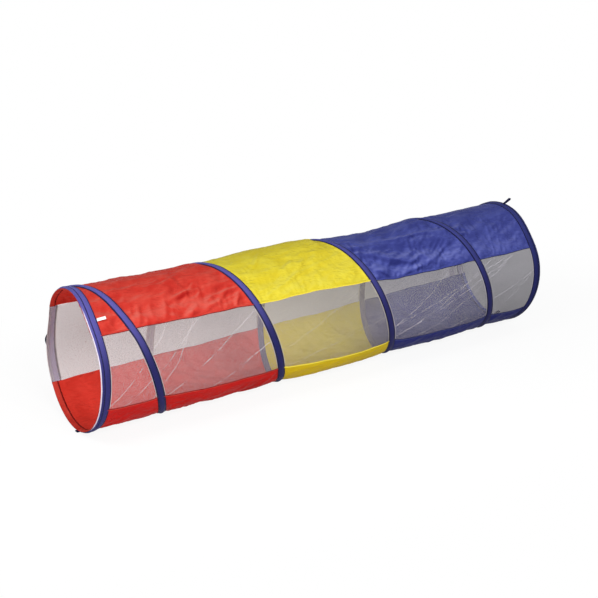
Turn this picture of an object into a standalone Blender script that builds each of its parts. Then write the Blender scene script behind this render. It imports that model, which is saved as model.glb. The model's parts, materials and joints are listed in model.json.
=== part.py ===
"""A pop-up play tunnel, open at both ends, lying on the floor.

Taffeta panels run along the top and the bottom, and net panels along the front and the back. They are
held round by a helical spring wire and by a wire ring at each mouth. Each wire lies in a casing of tape
that is stitched to the outside of the panels. The tunnel folds flat when its mouths are pushed together.

Metres, +Z up. The tunnel runs along +X, its near mouth is at low X, and its front faces -Y. The origin
is on the floor under the middle of the tunnel. Angles round the tunnel start at the top and grow
towards the front.
"""

import math

import bmesh
import bpy

# Overall size
TUNNEL_LENGTH = 1.800
OUTER_DIAMETER = 0.460

# Spring wire and its ferrules
COIL_TURNED_DEG = 1402.5
COIL_START_DEG = -37.0
WIRE_DIAMETER = 0.0024
RING_INSET = 0.0085
FERRULE_WALL = 0.0004
FERRULE_ROOM = 0.00015
FERRULE_LENGTH = 0.016
FERRULE_SIDES = 12
FERRULE_FACETS_ROUND = 14

# Casing tape
TAPE_THICKNESS = 0.0006
COIL_TAPE_WIDTH = 0.028
COIL_TAPE_HEM = 0.0050
COIL_TAPE_CROWN = 0.0060
RIM_TAPE_INSET = 0.0030
RIM_TAPE_WIDTH = 0.030
RIM_MOUTH_HEM = 0.0015
RIM_CROWN_START = 0.0030
RIM_CROWN_END = 0.0120
RIM_INNER_HEM = 0.0060

# Panels
PANEL_THICKNESS = 0.0005
RED_SAG = 0.0040
YELLOW_SAG = 0.0060
BLUE_SAG = 0.0120
SEAM_TWIST_DEG = 9.5
FRONT_TOP_SEAM_DEG = 56.1
FRONT_BOTTOM_SEAM_DEG = 118.5
BACK_BOTTOM_SEAM_DEG = 236.9
BACK_TOP_SEAM_DEG = 305.5

# Tie loops, of folded ribbon
RIBBON_WIDTH = 0.006
RIBBON_THICKNESS = 0.0010
LOOP_HALF_GAP = 0.0015
LOOP_TIP_STEPS = 6
LONG_LOOP_LENGTH = 0.028
SHORT_LOOP_LENGTH = 0.014
RAISED_LOOP_TILT_DEG = 28.0
FAR_TOP_LOOP_DEG = 3.0
FAR_BOTTOM_LOOP_DEG = 182.0
NEAR_BOTTOM_LOOP_DEG = 172.0
REAR_LOOP_DEG = 270.0
REAR_LOOP_SPREAD = 0.037
REAR_LOOP_RISE = 0.008
REAR_LOOP_STEPS = 12

# Care label
LABEL_LENGTH = 0.028
LABEL_WIDTH = 0.009
LABEL_THICKNESS = 0.0006
LABEL_DEG = 37.0

# Clearances and the fineness of curves
CLEARANCE = 0.0003
CUT_OVERRUN = 0.010
MERGE_DISTANCE = 0.00001
FACETS_ROUND = 48
WIRE_BEVEL_RESOLUTION = 1
BAY_STEPS = 4
MOUTH_BAY_STEPS = 2
TWIST_PASSES = 4
SLOT_FACETS = 3

# Sizes that follow from those above
FACET_DEG = 360.0 / FACETS_ROUND
FLAT_SHARE = math.cos(math.pi / FACETS_ROUND)
WIRE_RADIUS = WIRE_DIAMETER / 2
FERRULE_RADIUS = WIRE_RADIUS + FERRULE_ROOM + FERRULE_WALL
RIM_CROWN_RADIUS = OUTER_DIAMETER / 2 / FLAT_SHARE
RIM_POCKET_RADIUS = RIM_CROWN_RADIUS - TAPE_THICKNESS
COIL_RADIUS = RIM_POCKET_RADIUS - CLEARANCE - FERRULE_RADIUS
PANEL_RADIUS = COIL_RADIUS * FLAT_SHARE - FERRULE_RADIUS - CLEARANCE
HEM_RADIUS = (PANEL_RADIUS + CLEARANCE) / FLAT_SHARE
COIL_POCKET_RADIUS = COIL_RADIUS + WIRE_RADIUS + CLEARANCE
COIL_INSET = RING_INSET + WIRE_DIAMETER + CLEARANCE
RIM_DEPTH = RIM_TAPE_INSET + RIM_TAPE_WIDTH
COIL_RISE = TUNNEL_LENGTH - 2 * COIL_INSET
COIL_PITCH = COIL_RISE * 360.0 / COIL_TURNED_DEG
LOOP_HALF_DEPTH = LOOP_HALF_GAP + RIBBON_THICKNESS / 2

PARTS_NAME = "play_tunnel"
CUTTERS_NAME = "cutters"

# Name, colour as seen on screen, roughness, metallic
MATERIAL_LOOKS = {
    "red_taffeta": ((0.84, 0.19, 0.15), 0.50, 0.0),
    "yellow_taffeta": ((0.90, 0.82, 0.20), 0.50, 0.0),
    "blue_taffeta": ((0.24, 0.28, 0.58), 0.50, 0.0),
    "white_net": ((0.86, 0.84, 0.84), 0.80, 0.0),
    "casing_tape": ((0.30, 0.28, 0.60), 0.65, 0.0),
    "spring_steel": ((0.62, 0.62, 0.64), 0.30, 1.0),
    "tie_ribbon": ((0.10, 0.10, 0.26), 0.75, 0.0),
    "label_cloth": ((0.96, 0.95, 0.94), 0.70, 0.0),
}


def linear(channel):
    """A screen colour channel as linear light."""
    if channel <= 0.04045:
        return channel / 12.92
    return ((channel + 0.055) / 1.055) ** 2.4


def make_material(name):
    colour, roughness, metallic = MATERIAL_LOOKS[name]
    material = bpy.data.materials.new(name)
    material.use_nodes = True
    shader = material.node_tree.nodes["Principled BSDF"]
    shader.inputs["Base Color"].default_value = (*[linear(c) for c in colour], 1.0)
    shader.inputs["Roughness"].default_value = roughness
    shader.inputs["Metallic"].default_value = metallic
    return material


def make_collection(name):
    collection = bpy.data.collections.new(name)
    bpy.context.scene.collection.children.link(collection)
    return collection


def add_part(name, data, material, parent):
    """An object for one sub-part, in the part's collection."""
    part = bpy.data.objects.new(name, data)
    data.materials.append(bpy.data.materials[material])
    part.parent = parent
    bpy.data.collections[PARTS_NAME].objects.link(part)
    return part


def make_cutter(cutter):
    """A part that only cuts: it isn't built, and shows as wire."""
    cutter.hide_render = True
    cutter.display_type = "WIRE"
    for collection in list(cutter.users_collection):
        collection.objects.unlink(cutter)
    bpy.data.collections[CUTTERS_NAME].objects.link(cutter)
    return cutter


def cut(part, cutter):
    modifier = part.modifiers.new(cutter.name, "BOOLEAN")
    modifier.operation = "DIFFERENCE"
    modifier.solver = "EXACT"
    modifier.object = cutter


def shade_round(mesh, sharp_deg=35.0):
    mesh.shade_smooth()
    mesh.set_sharp_from_angle(angle=math.radians(sharp_deg))


def make_empty(name, parent=None):
    empty = bpy.data.objects.new(name, None)
    empty.parent = parent
    bpy.data.collections[PARTS_NAME].objects.link(empty)
    return empty


def make_tunnel_axis():
    """An empty at the near mouth: its Z runs along the tunnel, its X points up and its Y to the front."""
    axis = make_empty("tunnel_axis")
    axis.location = (-TUNNEL_LENGTH / 2, 0, OUTER_DIAMETER / 2)
    axis.rotation_euler = (math.pi, -math.pi / 2, 0)
    return axis


def swept_tape(name, profile, thickness, material, parent, start_deg=0.0, turned_deg=360.0, rise=0.0):
    """A strip swept round the tunnel's axis, thickened outwards. The profile lists (radius, along) pairs
    from the far edge to the near edge, and rise is how far the strip climbs in the angle turned."""
    mesh = bpy.data.meshes.new(name)
    shape = bmesh.new()
    corners = [shape.verts.new((radius, 0, along)) for radius, along in profile]
    for first, second in zip(corners, corners[1:]):
        shape.edges.new((first, second))
    shape.to_mesh(mesh)
    shape.free()
    part = add_part(name, mesh, material, parent)
    part.rotation_euler = (0, 0, math.radians(start_deg))
    screw = part.modifiers.new("sweep", "SCREW")
    screw.angle = math.radians(turned_deg)
    screw.screw_offset = rise
    screw.steps = round(turned_deg / FACET_DEG)
    screw.render_steps = screw.steps
    screw.use_merge_vertices = True
    screw.merge_threshold = MERGE_DISTANCE
    screw.use_smooth_shade = True
    solid = part.modifiers.new("thickness", "SOLIDIFY")
    solid.thickness = thickness
    solid.offset = 1.0
    solid.use_even_offset = True
    return part


def wire(name, points, radius, parent, start_deg):
    """A bare wire along points, with closed ends."""
    curve = bpy.data.curves.new(name, "CURVE")
    curve.dimensions = "3D"
    curve.bevel_depth = radius
    curve.bevel_resolution = WIRE_BEVEL_RESOLUTION
    curve.use_fill_caps = True
    spline = curve.splines.new("POLY")
    spline.points.add(len(points) - 1)
    for point, place in zip(spline.points, points):
        point.co = (*place, 1.0)
    part = add_part(name, curve, "spring_steel", parent)
    part.rotation_euler = (0, 0, math.radians(start_deg))
    return part


def on_circle(radius, angle_deg, along):
    """A point in the frame of the tunnel's axis."""
    angle = math.radians(angle_deg)
    return (radius * math.cos(angle), radius * math.sin(angle), along)


def coil_point(turned_deg):
    return on_circle(COIL_RADIUS, turned_deg, COIL_INSET + COIL_PITCH * turned_deg / 360.0)


def make_coil_wire(parent):
    """The helical spring, one unbroken right-handed wire from ring to ring."""
    steps = round(COIL_TURNED_DEG / FACET_DEG)
    points = [coil_point(FACET_DEG * step) for step in range(steps + 1)]
    part = wire("coil_wire", points, WIRE_RADIUS, parent, COIL_START_DEG)
    least = min(
        math.dist(points[i], points[j])
        for i in range(len(points))
        for j in range(i + FACETS_ROUND // 2, len(points))
    )
    print(f"coil_wire: least gap to itself {1000 * (least - WIRE_DIAMETER):.1f} mm")
    return part


def make_coil_tape(parent):
    """The casing tape that follows the coil: two stitched hems and a crown over the wire."""
    half = COIL_TAPE_WIDTH / 2
    crown = COIL_TAPE_CROWN / 2
    profile = [
        (HEM_RADIUS, COIL_INSET + half),
        (HEM_RADIUS, COIL_INSET + half - COIL_TAPE_HEM),
        (COIL_POCKET_RADIUS, COIL_INSET + crown),
        (COIL_POCKET_RADIUS, COIL_INSET - crown),
        (HEM_RADIUS, COIL_INSET - half + COIL_TAPE_HEM),
        (HEM_RADIUS, COIL_INSET - half),
    ]
    tape = swept_tape(
        "coil_casing_tape", profile, TAPE_THICKNESS, "casing_tape", parent,
        start_deg=COIL_START_DEG, turned_deg=COIL_TURNED_DEG, rise=COIL_RISE,
    )
    covered = RIM_DEPTH + CLEARANCE
    trim_depth = covered + CUT_OVERRUN
    trim_centre = (covered - CUT_OVERRUN) / 2
    for name, along in (("near_trim", trim_centre), ("far_trim", TUNNEL_LENGTH - trim_centre)):
        bpy.ops.mesh.primitive_cylinder_add(
            vertices=FACETS_ROUND, radius=RIM_CROWN_RADIUS + CUT_OVERRUN, depth=trim_depth
        )
        trim = bpy.context.object
        trim.name = name
        trim.parent = parent
        trim.location = (0, 0, along)
        cut(tape, make_cutter(trim))
    return tape


def rim_profile():
    """Half a rim casing in (radius, depth from the mouth) pairs, from the mouth inwards."""
    return [
        (HEM_RADIUS, RIM_TAPE_INSET),
        (HEM_RADIUS, RIM_TAPE_INSET + RIM_MOUTH_HEM),
        (RIM_POCKET_RADIUS, RIM_TAPE_INSET + RIM_CROWN_START),
        (RIM_POCKET_RADIUS, RIM_TAPE_INSET + RIM_CROWN_END),
        (HEM_RADIUS, RIM_DEPTH - RIM_INNER_HEM),
        (HEM_RADIUS, RIM_DEPTH),
    ]


def wire_slot(name, parent, first_turned_deg):
    """The cutter for the slot by which the coil's wire leaves the casing of a ring."""
    half = WIRE_RADIUS + CLEARANCE
    along = COIL_INSET + COIL_PITCH * first_turned_deg / 360.0
    low = HEM_RADIUS - CLEARANCE
    slot = swept_tape(
        name, [(low, along + half), (low, along - half)], CUT_OVERRUN, "casing_tape", parent,
        start_deg=COIL_START_DEG + first_turned_deg,
        turned_deg=SLOT_FACETS * FACET_DEG,
        rise=COIL_PITCH * SLOT_FACETS * FACET_DEG / 360.0,
    )
    return make_cutter(slot)


def make_rim(side, parent, along_of, slot_start_deg):
    """A mouth's wire ring, the ferrule that joins its ends, and its casing tape.
    along_of turns a depth from this mouth into a place along the tunnel."""
    profile = [(radius, along_of(depth)) for radius, depth in rim_profile()]
    profile.sort(key=lambda pair: -pair[1])
    tape = swept_tape(
        f"{side}_rim_tape", profile, TAPE_THICKNESS, "casing_tape", parent,
        start_deg=FACET_DEG / 2,
    )
    cut(tape, wire_slot(f"{side}_wire_slot", parent, slot_start_deg))

    ring_along = along_of(RING_INSET)
    joint_deg = FACET_DEG * FERRULE_FACETS_ROUND
    flat_radius = COIL_RADIUS * FLAT_SHARE
    end_gap_deg = math.degrees(CLEARANCE / 2 / flat_radius)
    first = on_circle(flat_radius, end_gap_deg, ring_along)
    last = on_circle(flat_radius, -end_gap_deg, ring_along)
    corners = [
        on_circle(COIL_RADIUS, FACET_DEG * (step + 0.5), ring_along) for step in range(FACETS_ROUND)
    ]
    wire(f"{side}_ring_wire", [first, *corners, last], WIRE_RADIUS, parent, joint_deg)

    bpy.ops.mesh.primitive_cylinder_add(
        vertices=FERRULE_SIDES, radius=FERRULE_RADIUS, depth=FERRULE_LENGTH, end_fill_type="NOTHING"
    )
    ferrule = bpy.context.object
    mesh = ferrule.data
    bpy.data.objects.remove(ferrule)
    mesh.name = f"{side}_ring_ferrule"
    part = add_part(mesh.name, mesh, "spring_steel", parent)
    angle = math.radians(joint_deg)
    part.location = (flat_radius * math.cos(angle), flat_radius * math.sin(angle), ring_along)
    part.rotation_euler = (math.pi / 2, 0, angle)
    shade_round(mesh)
    wall = part.modifiers.new("wall", "SOLIDIFY")
    wall.thickness = FERRULE_WALL
    wall.offset = -1.0
    wall.use_even_offset = True


def coil_along(angle_deg, turn):
    """Where the coil's turn crosses an angle round the tunnel."""
    turned = angle_deg - COIL_START_DEG + 360.0 * turn
    return COIL_INSET + COIL_PITCH * turned / 360.0


def red_stops(angle_deg):
    """Places along the tunnel where a red length is held, with the steps between them."""
    first_wire = max(coil_along(angle_deg, 0), RIM_DEPTH)
    end = coil_along(angle_deg, 1) - CLEARANCE / 2
    return [0, first_wire, end], [MOUTH_BAY_STEPS, BAY_STEPS]


def yellow_stops(angle_deg):
    start = coil_along(angle_deg, 1) + CLEARANCE / 2
    end = coil_along(angle_deg, 2) - CLEARANCE / 2
    return [start, end], [BAY_STEPS]


def blue_stops(angle_deg):
    start = coil_along(angle_deg, 2) + CLEARANCE / 2
    last_wire = min(coil_along(angle_deg, 3), TUNNEL_LENGTH - RIM_DEPTH)
    return [start, last_wire, TUNNEL_LENGTH], [BAY_STEPS, MOUTH_BAY_STEPS]


def row_places(stops, steps, angle_deg, length_sag):
    """Each row's place along the tunnel, and how far the fabric sags inwards there. The sag is
    deepest over the top, where the fabric's weight pulls it in, and fades out towards the floor."""
    top_share = (1 + math.cos(math.radians(angle_deg))) / 2
    rows = [(stops[0], 0.0)]
    for low, high, count in zip(stops, stops[1:], steps):
        bay = high - low
        deepest = length_sag * top_share * bay / COIL_PITCH
        for step in range(1, count + 1):
            share = step / count
            rows.append((low + bay * share, deepest * 4 * share * (1 - share)))
    return rows


def seam_angle(seam_deg, along):
    """A seam's angle round the tunnel. The panels are twisted a little from mouth to mouth."""
    return seam_deg + SEAM_TWIST_DEG * (along / TUNNEL_LENGTH - 0.5)


def make_panel(name, stops_at, length_sag, first_seam_deg, last_seam_deg, material, parent):
    """One panel between two seams, with its ends cut along the coil, dipping between the wires."""
    columns = max(2, math.ceil((last_seam_deg - first_seam_deg) / FACET_DEG))
    rows = sum(stops_at(first_seam_deg)[1])
    half_gap_deg = math.degrees(CLEARANCE / 2 / PANEL_RADIUS)
    mesh = bpy.data.meshes.new(name)
    shape = bmesh.new()
    bmesh.ops.create_grid(shape, x_segments=columns, y_segments=rows, size=0.5)
    for corner in shape.verts:
        across_share = corner.co.x + 0.5
        row = round((corner.co.y + 0.5) * rows)
        along = TUNNEL_LENGTH / 2
        for _ in range(TWIST_PASSES):
            first = seam_angle(first_seam_deg, along) + half_gap_deg
            last = seam_angle(last_seam_deg, along) - half_gap_deg
            angle = first + (last - first) * across_share
            along, sag = row_places(*stops_at(angle), angle, length_sag)[row]
        corner.co = on_circle(PANEL_RADIUS - sag, angle, along)
    bmesh.ops.recalc_face_normals(shape, faces=shape.faces)
    middle = sorted(shape.faces, key=lambda face: face.calc_center_median().length)[0]
    outwards = middle.calc_center_median()
    outwards.z = 0
    if middle.normal.dot(outwards) < 0:
        bmesh.ops.reverse_faces(shape, faces=shape.faces)
    shape.to_mesh(mesh)
    shape.free()
    shade_round(mesh)
    part = add_part(name, mesh, material, parent)
    cloth = part.modifiers.new("cloth", "SOLIDIFY")
    cloth.thickness = PANEL_THICKNESS
    cloth.offset = -1.0
    cloth.use_even_offset = True
    return part


def make_panels(lengths):
    """Every panel: lengths gives each length's name, stops, sag, taffeta and parent empty."""
    seams = {
        "top": (BACK_TOP_SEAM_DEG - 360.0, FRONT_TOP_SEAM_DEG),
        "front_net": (FRONT_TOP_SEAM_DEG, FRONT_BOTTOM_SEAM_DEG),
        "bottom": (FRONT_BOTTOM_SEAM_DEG, BACK_BOTTOM_SEAM_DEG),
        "back_net": (BACK_BOTTOM_SEAM_DEG, BACK_TOP_SEAM_DEG),
    }
    for length_name, place, stops_at, length_sag, taffeta, parent in lengths:
        for side, (first, last) in seams.items():
            is_net = side.endswith("net")
            name = f"{place}_{side}" if is_net else f"{length_name}_{side}_panel"
            material = "white_net" if is_net else taffeta
            make_panel(name, stops_at, length_sag, first, last, material, parent)


def ribbon(name, path, parent):
    """A strip of ribbon whose middle follows a flat path; its width stands square to the path's plane."""
    curve = bpy.data.curves.new(name, "CURVE")
    curve.dimensions = "2D"
    curve.fill_mode = "NONE"
    curve.extrude = RIBBON_WIDTH / 2
    spline = curve.splines.new("POLY")
    spline.points.add(len(path) - 1)
    for point, (x, y) in zip(spline.points, path):
        point.co = (x, y, 0, 1.0)
    part = add_part(name, curve, "tie_ribbon", parent)
    solid = part.modifiers.new("thickness", "SOLIDIFY")
    solid.thickness = RIBBON_THICKNESS
    solid.offset = 0.0
    solid.use_even_offset = True
    return part


def hairpin(length):
    """A folded loop's path: out along X, round the tip, and back."""
    leg = length - LOOP_HALF_GAP
    tip = []
    for step in range(LOOP_TIP_STEPS + 1):
        angle = math.pi * (step / LOOP_TIP_STEPS - 0.5)
        tip.append((leg + LOOP_HALF_GAP * math.cos(angle), LOOP_HALF_GAP * math.sin(angle)))
    return [(0, -LOOP_HALF_GAP), *tip, (0, LOOP_HALF_GAP)]


def standing_loop(name, parent, angle_deg, radius, along, length, lean_deg):
    """A folded loop in the plane of the tunnel's axis. Its path starts at a radius and a place along
    the tunnel and leans from the radius towards the far mouth by lean_deg."""
    part = ribbon(name, hairpin(length), parent)
    holder = make_empty(f"{name}_seat", parent)
    holder.rotation_euler = (0, 0, math.radians(angle_deg))
    part.parent = holder
    part.location = (radius, 0, along)
    part.rotation_euler = (math.pi / 2, -math.radians(lean_deg), 0)
    return part


def make_tie_loops(near_end, far_end):
    """The sewn loops by which the folded tunnel is tied."""
    mouth_radius = PANEL_RADIUS - PANEL_THICKNESS / 2 - LOOP_HALF_GAP
    standing_loop(
        "near_bottom_tie_loop", near_end, NEAR_BOTTOM_LOOP_DEG, mouth_radius,
        -CLEARANCE, SHORT_LOOP_LENGTH, -90.0,
    )
    standing_loop(
        "far_bottom_tie_loop", far_end, FAR_BOTTOM_LOOP_DEG, mouth_radius,
        TUNNEL_LENGTH + CLEARANCE, LONG_LOOP_LENGTH, 90.0,
    )
    lean = 90.0 - RAISED_LOOP_TILT_DEG
    crown_middle = RIM_TAPE_INSET + (RIM_CROWN_START + RIM_CROWN_END) / 2
    raised_radius = RIM_CROWN_RADIUS + CLEARANCE + LOOP_HALF_DEPTH * math.sin(math.radians(lean))
    standing_loop(
        "far_top_tie_loop", far_end, FAR_TOP_LOOP_DEG, raised_radius,
        TUNNEL_LENGTH - crown_middle, LONG_LOOP_LENGTH, lean,
    )

    base = RIM_CROWN_RADIUS + CLEARANCE + RIBBON_THICKNESS / 2
    spread_deg = math.degrees(REAR_LOOP_SPREAD / base)
    path = []
    for step in range(REAR_LOOP_STEPS + 1):
        share = step / REAR_LOOP_STEPS
        radius = base + REAR_LOOP_RISE * math.sin(math.pi * share) ** 2
        path.append(on_circle(radius, spread_deg * (share - 0.5), 0)[:2])
    rear = ribbon("near_rear_tie_loop", path, near_end)
    rear.location = (0, 0, crown_middle)
    rear.rotation_euler = (0, 0, math.radians(REAR_LOOP_DEG))


def make_label(parent):
    """A blank care label, sewn in at the rim's hem and lying on the red panel."""
    mesh = bpy.data.meshes.new("care_label")
    shape = bmesh.new()
    bmesh.ops.create_cube(shape, size=1.0)
    bmesh.ops.scale(shape, verts=shape.verts, vec=(LABEL_THICKNESS, LABEL_WIDTH, LABEL_LENGTH))
    shape.to_mesh(mesh)
    shape.free()
    part = add_part("care_label", mesh, "label_cloth", parent)
    radius = PANEL_RADIUS + CLEARANCE + LABEL_THICKNESS / 2
    along = RIM_DEPTH + CLEARANCE + LABEL_LENGTH / 2
    part.location = on_circle(radius, LABEL_DEG, along)
    part.rotation_euler = (0, 0, math.radians(LABEL_DEG))
    return part


def main():
    for old in list(bpy.data.objects):
        bpy.data.objects.remove(old)
    make_collection(PARTS_NAME)
    make_collection(CUTTERS_NAME)
    for name in MATERIAL_LOOKS:
        make_material(name)

    tunnel_axis = make_tunnel_axis()
    near_end = make_empty("near_end", tunnel_axis)
    middle_length = make_empty("middle_length", tunnel_axis)
    far_length = make_empty("far_length", tunnel_axis)
    far_end = make_empty("far_end", tunnel_axis)

    make_coil_wire(near_end)
    make_coil_tape(near_end)
    last_slot_deg = COIL_TURNED_DEG - SLOT_FACETS * FACET_DEG
    make_rim("near", near_end, lambda depth: depth, 0.0)
    make_rim("far", far_end, lambda depth: TUNNEL_LENGTH - depth, last_slot_deg)
    make_panels([
        ("red", "near", red_stops, RED_SAG, "red_taffeta", near_end),
        ("yellow", "middle", yellow_stops, YELLOW_SAG, "yellow_taffeta", middle_length),
        ("blue", "far", blue_stops, BLUE_SAG, "blue_taffeta", far_length),
    ])
    make_tie_loops(near_end, far_end)
    make_label(near_end)
    bpy.context.view_layer.update()


main()
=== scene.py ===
# %% [markdown]
# A pop-up play tunnel, dressed for a picture.
#
# The real object is four things sewn together: thin crinkled taffeta along the top and the bottom, net
# along both sides, a springy wire that winds from mouth to mouth, and tape that holds the wire to the
# cloth. The engineering model gives the size of each piece and what moves with what. This script keeps
# those sizes and gives every piece its cloth, its stitches and its creases.

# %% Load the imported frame
import json
import math

import bmesh
import bpy
import numpy as np
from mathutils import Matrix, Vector, noise


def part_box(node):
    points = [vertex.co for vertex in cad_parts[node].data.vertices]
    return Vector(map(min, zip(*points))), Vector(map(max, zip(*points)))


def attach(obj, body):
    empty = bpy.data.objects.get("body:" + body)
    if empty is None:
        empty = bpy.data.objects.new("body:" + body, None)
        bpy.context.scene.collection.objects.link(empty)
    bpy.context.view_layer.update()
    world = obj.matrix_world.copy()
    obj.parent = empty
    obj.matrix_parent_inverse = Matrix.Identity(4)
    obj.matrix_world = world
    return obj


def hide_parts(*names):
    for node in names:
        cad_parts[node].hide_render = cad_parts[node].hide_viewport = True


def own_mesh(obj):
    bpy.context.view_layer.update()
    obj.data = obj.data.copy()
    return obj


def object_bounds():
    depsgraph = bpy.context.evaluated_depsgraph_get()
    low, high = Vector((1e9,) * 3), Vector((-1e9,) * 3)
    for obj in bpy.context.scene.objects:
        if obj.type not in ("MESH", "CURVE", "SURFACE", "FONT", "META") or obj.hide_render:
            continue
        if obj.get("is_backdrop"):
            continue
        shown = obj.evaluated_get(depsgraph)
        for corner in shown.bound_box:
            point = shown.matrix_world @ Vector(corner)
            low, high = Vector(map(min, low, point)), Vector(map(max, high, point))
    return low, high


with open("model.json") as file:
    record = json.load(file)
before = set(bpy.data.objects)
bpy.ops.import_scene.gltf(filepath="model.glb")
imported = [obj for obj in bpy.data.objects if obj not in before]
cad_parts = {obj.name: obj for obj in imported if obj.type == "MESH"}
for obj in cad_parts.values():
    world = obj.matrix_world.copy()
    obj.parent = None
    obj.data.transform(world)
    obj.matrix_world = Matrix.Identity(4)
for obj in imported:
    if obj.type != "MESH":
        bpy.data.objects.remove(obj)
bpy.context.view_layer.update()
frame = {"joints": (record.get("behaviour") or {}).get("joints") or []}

# %% [markdown]
# Every size below is read off the frame where the frame holds it. The mouths are the ends of the cloth,
# the diameter is the near rim's, and the coil's start and rise come from the box of its wire. What a box
# can't say, such as the angle of a seam, is a named value.

# %% Sizes of the tunnel
MOUTH_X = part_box("red_top_panel")[0].x
FAR_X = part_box("blue_top_panel")[1].x
LENGTH = FAR_X - MOUTH_X
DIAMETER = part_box("near_rim_tape")[1].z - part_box("near_rim_tape")[0].z
AXIS_HEIGHT = DIAMETER / 2
WIRE_DIAMETER = 0.0024
WIRE_RADIUS = WIRE_DIAMETER / 2
COIL_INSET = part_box("coil_wire")[0].x - MOUTH_X + WIRE_RADIUS
COIL_START_DEG = -37.0
COIL_TURNED_DEG = 1402.5
COIL_PITCH = (LENGTH - 2 * COIL_INSET) * 360 / COIL_TURNED_DEG
RING_DEPTH = (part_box("near_ring_wire")[0].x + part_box("near_ring_wire")[1].x) / 2 - MOUTH_X
RIM_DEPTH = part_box("near_rim_tape")[1].x - MOUTH_X
CLOTH_RADIUS = 0.2253
TAPE_RADIUS = 0.2261
CROWN_RADIUS = DIAMETER / 2
COIL_RADIUS = 0.2278
COIL_TAPE_WIDTH = 0.028
RIM_TAPE_WIDTH = 0.0324
print(f"tunnel {LENGTH:.3f} m long, {DIAMETER:.3f} m across, coil pitch {COIL_PITCH:.3f} m")

# %% [markdown]
# A place on the tunnel is easiest to name the way a tailor would: how far along it lies, and how far
# round, in degrees from the top towards the front. One function turns that into metres, for whole arrays
# of places at once, so that each piece of cloth is one grid of numbers. The wire doesn't hold the tunnel
# perfectly round, so the same function moves each place to where the wire has sprung it.

# %% How the wire springs the tunnel out of round
# The wire springs the mouths a little taller than round, and both of them lean: along, rise, lean and shift
RISE_ALONG = (0, 0.3, 0.6, 0.85, 0.98, 1.12, 1.4, 1.8)
RISE = (0.010, 0.004, 0.002, 0.010, 0.004, -0.004, 0.009, 0.014)
LEAN_ALONG, LEAN, SHIFT = (0, 0.35, 1.45, 1.8), (0.012, 0, 0, 0.006), (0, 0, 0, 0.006)
# The front of each rim has taken a set of its own: the near one bulges outwards and the far one is flattened
NEAR_SET, NEAR_SET_DEG, NEAR_SET_SPREAD_DEG, NEAR_SET_REACH = 0.009, 40.0, 26.0, 0.30
FAR_SET, FAR_SET_DEG, FAR_SET_SPREAD_DEG, FAR_SET_REACH = 0.013, 47.0, 24.0, 0.36
# At the back, the near rim is pinched narrow
REAR_SET, REAR_SET_DEG, REAR_SET_SPREAD_DEG, REAR_SET_REACH = 0.010, -74.0, 20.0, 0.05


def bump(value, middle, spread):
    """A soft bump, 1 in its middle."""
    return np.exp(-(((value - middle) / spread) ** 2))


def signed_deg(angle_deg):
    """The same angle from the top, between -180 and 180 degrees."""
    return (angle_deg + 180) % 360 - 180


def sprung(points):
    """World points of a round tunnel, moved to where the leaning, springy one has them."""
    along, height = points[..., 0] - MOUTH_X, points[..., 2]
    angle = np.arctan2(-points[..., 1], height - AXIS_HEIGHT)
    moved = points.copy()
    moved[..., 2] += np.interp(along, RISE_ALONG, RISE) * height / DIAMETER
    moved[..., 0] += np.interp(along, LEAN_ALONG, LEAN) * (height / AXIS_HEIGHT - 1)
    moved[..., 0] += np.interp(along, LEAN_ALONG, SHIFT)
    near_share = np.clip(1 - along / NEAR_SET_REACH, 0, 1)
    moved[..., 0] -= NEAR_SET * near_share * bump(np.degrees(angle), NEAR_SET_DEG, NEAR_SET_SPREAD_DEG)
    rear_share = np.clip(1 - along / REAR_SET_REACH, 0, 1)
    moved[..., 0] += REAR_SET * rear_share * bump(np.degrees(angle), REAR_SET_DEG, REAR_SET_SPREAD_DEG)
    far_share = np.clip(1 - (LENGTH - along) / FAR_SET_REACH, 0, 1) ** 1.5
    inwards = FAR_SET * far_share * bump(np.degrees(angle), FAR_SET_DEG, FAR_SET_SPREAD_DEG)
    moved[..., 1] += inwards * np.sin(angle)
    moved[..., 2] -= inwards * np.cos(angle)
    return moved


print("the near mouth leans", LEAN[0], "m and the far one", LEAN[-1], "m")


# %% Places on the tunnel
def place(radius, angle_deg, along):
    """World points for a distance from the axis, an angle from the top and a place along the tunnel."""
    angle = np.radians(angle_deg)
    x, y, z = np.broadcast_arrays(
        along + MOUTH_X, -radius * np.sin(angle), AXIS_HEIGHT + radius * np.cos(angle)
    )
    return sprung(np.stack([x, y, z], -1))


def outwards_at(angle_deg):
    """Unit vectors away from the axis."""
    angle = np.radians(angle_deg)
    return np.stack([0 * angle, -np.sin(angle), np.cos(angle)], -1)


print("top of the cloth, in the middle:", round(float(place(CLOTH_RADIUS, 0.0, LENGTH / 2)[2]), 3), "m up")

# %% The lines of the coil and the seams
SEAM_TWIST_DEG = 9.5
SEAMS_DEG = {"front_top": 56.1, "front_bottom": 118.5, "back_bottom": 236.9, "back_top": 305.5}
# How far each turn of the real coil lies from an even pitch
DRIFT_TURNED_DEG = (0, 50, 97, 160, 457, 817, 1177, 1402.5)
DRIFT_M = (0, 0.0060, 0.0090, 0.0040, -0.0105, -0.0007, 0.0037, 0)
# The front's top seam droops in places: along, and degrees
DROOP_ALONG, DROOP_DEG = (0, 0.3, 1.05, 1.25, 1.55, 1.8), (1.8, 0, 0, 2.0, 2.0, 0)
# A slow and a quick waver: degrees, waves along the tunnel, and how far each seam's own waves are shifted
SEAM_WAVERS = ((0.35, 23, 1), (0.2, 61, 2))


def coil_at(turned_deg):
    """How far along the tunnel the coil's wire is once it has turned so far."""
    drift = np.interp(turned_deg, DRIFT_TURNED_DEG, DRIFT_M)
    return COIL_INSET + COIL_PITCH * np.asarray(turned_deg) / 360 + drift


def coil_along(angle_deg, turn):
    return coil_at(np.asarray(angle_deg) - COIL_START_DEG + 360 * turn)


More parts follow.
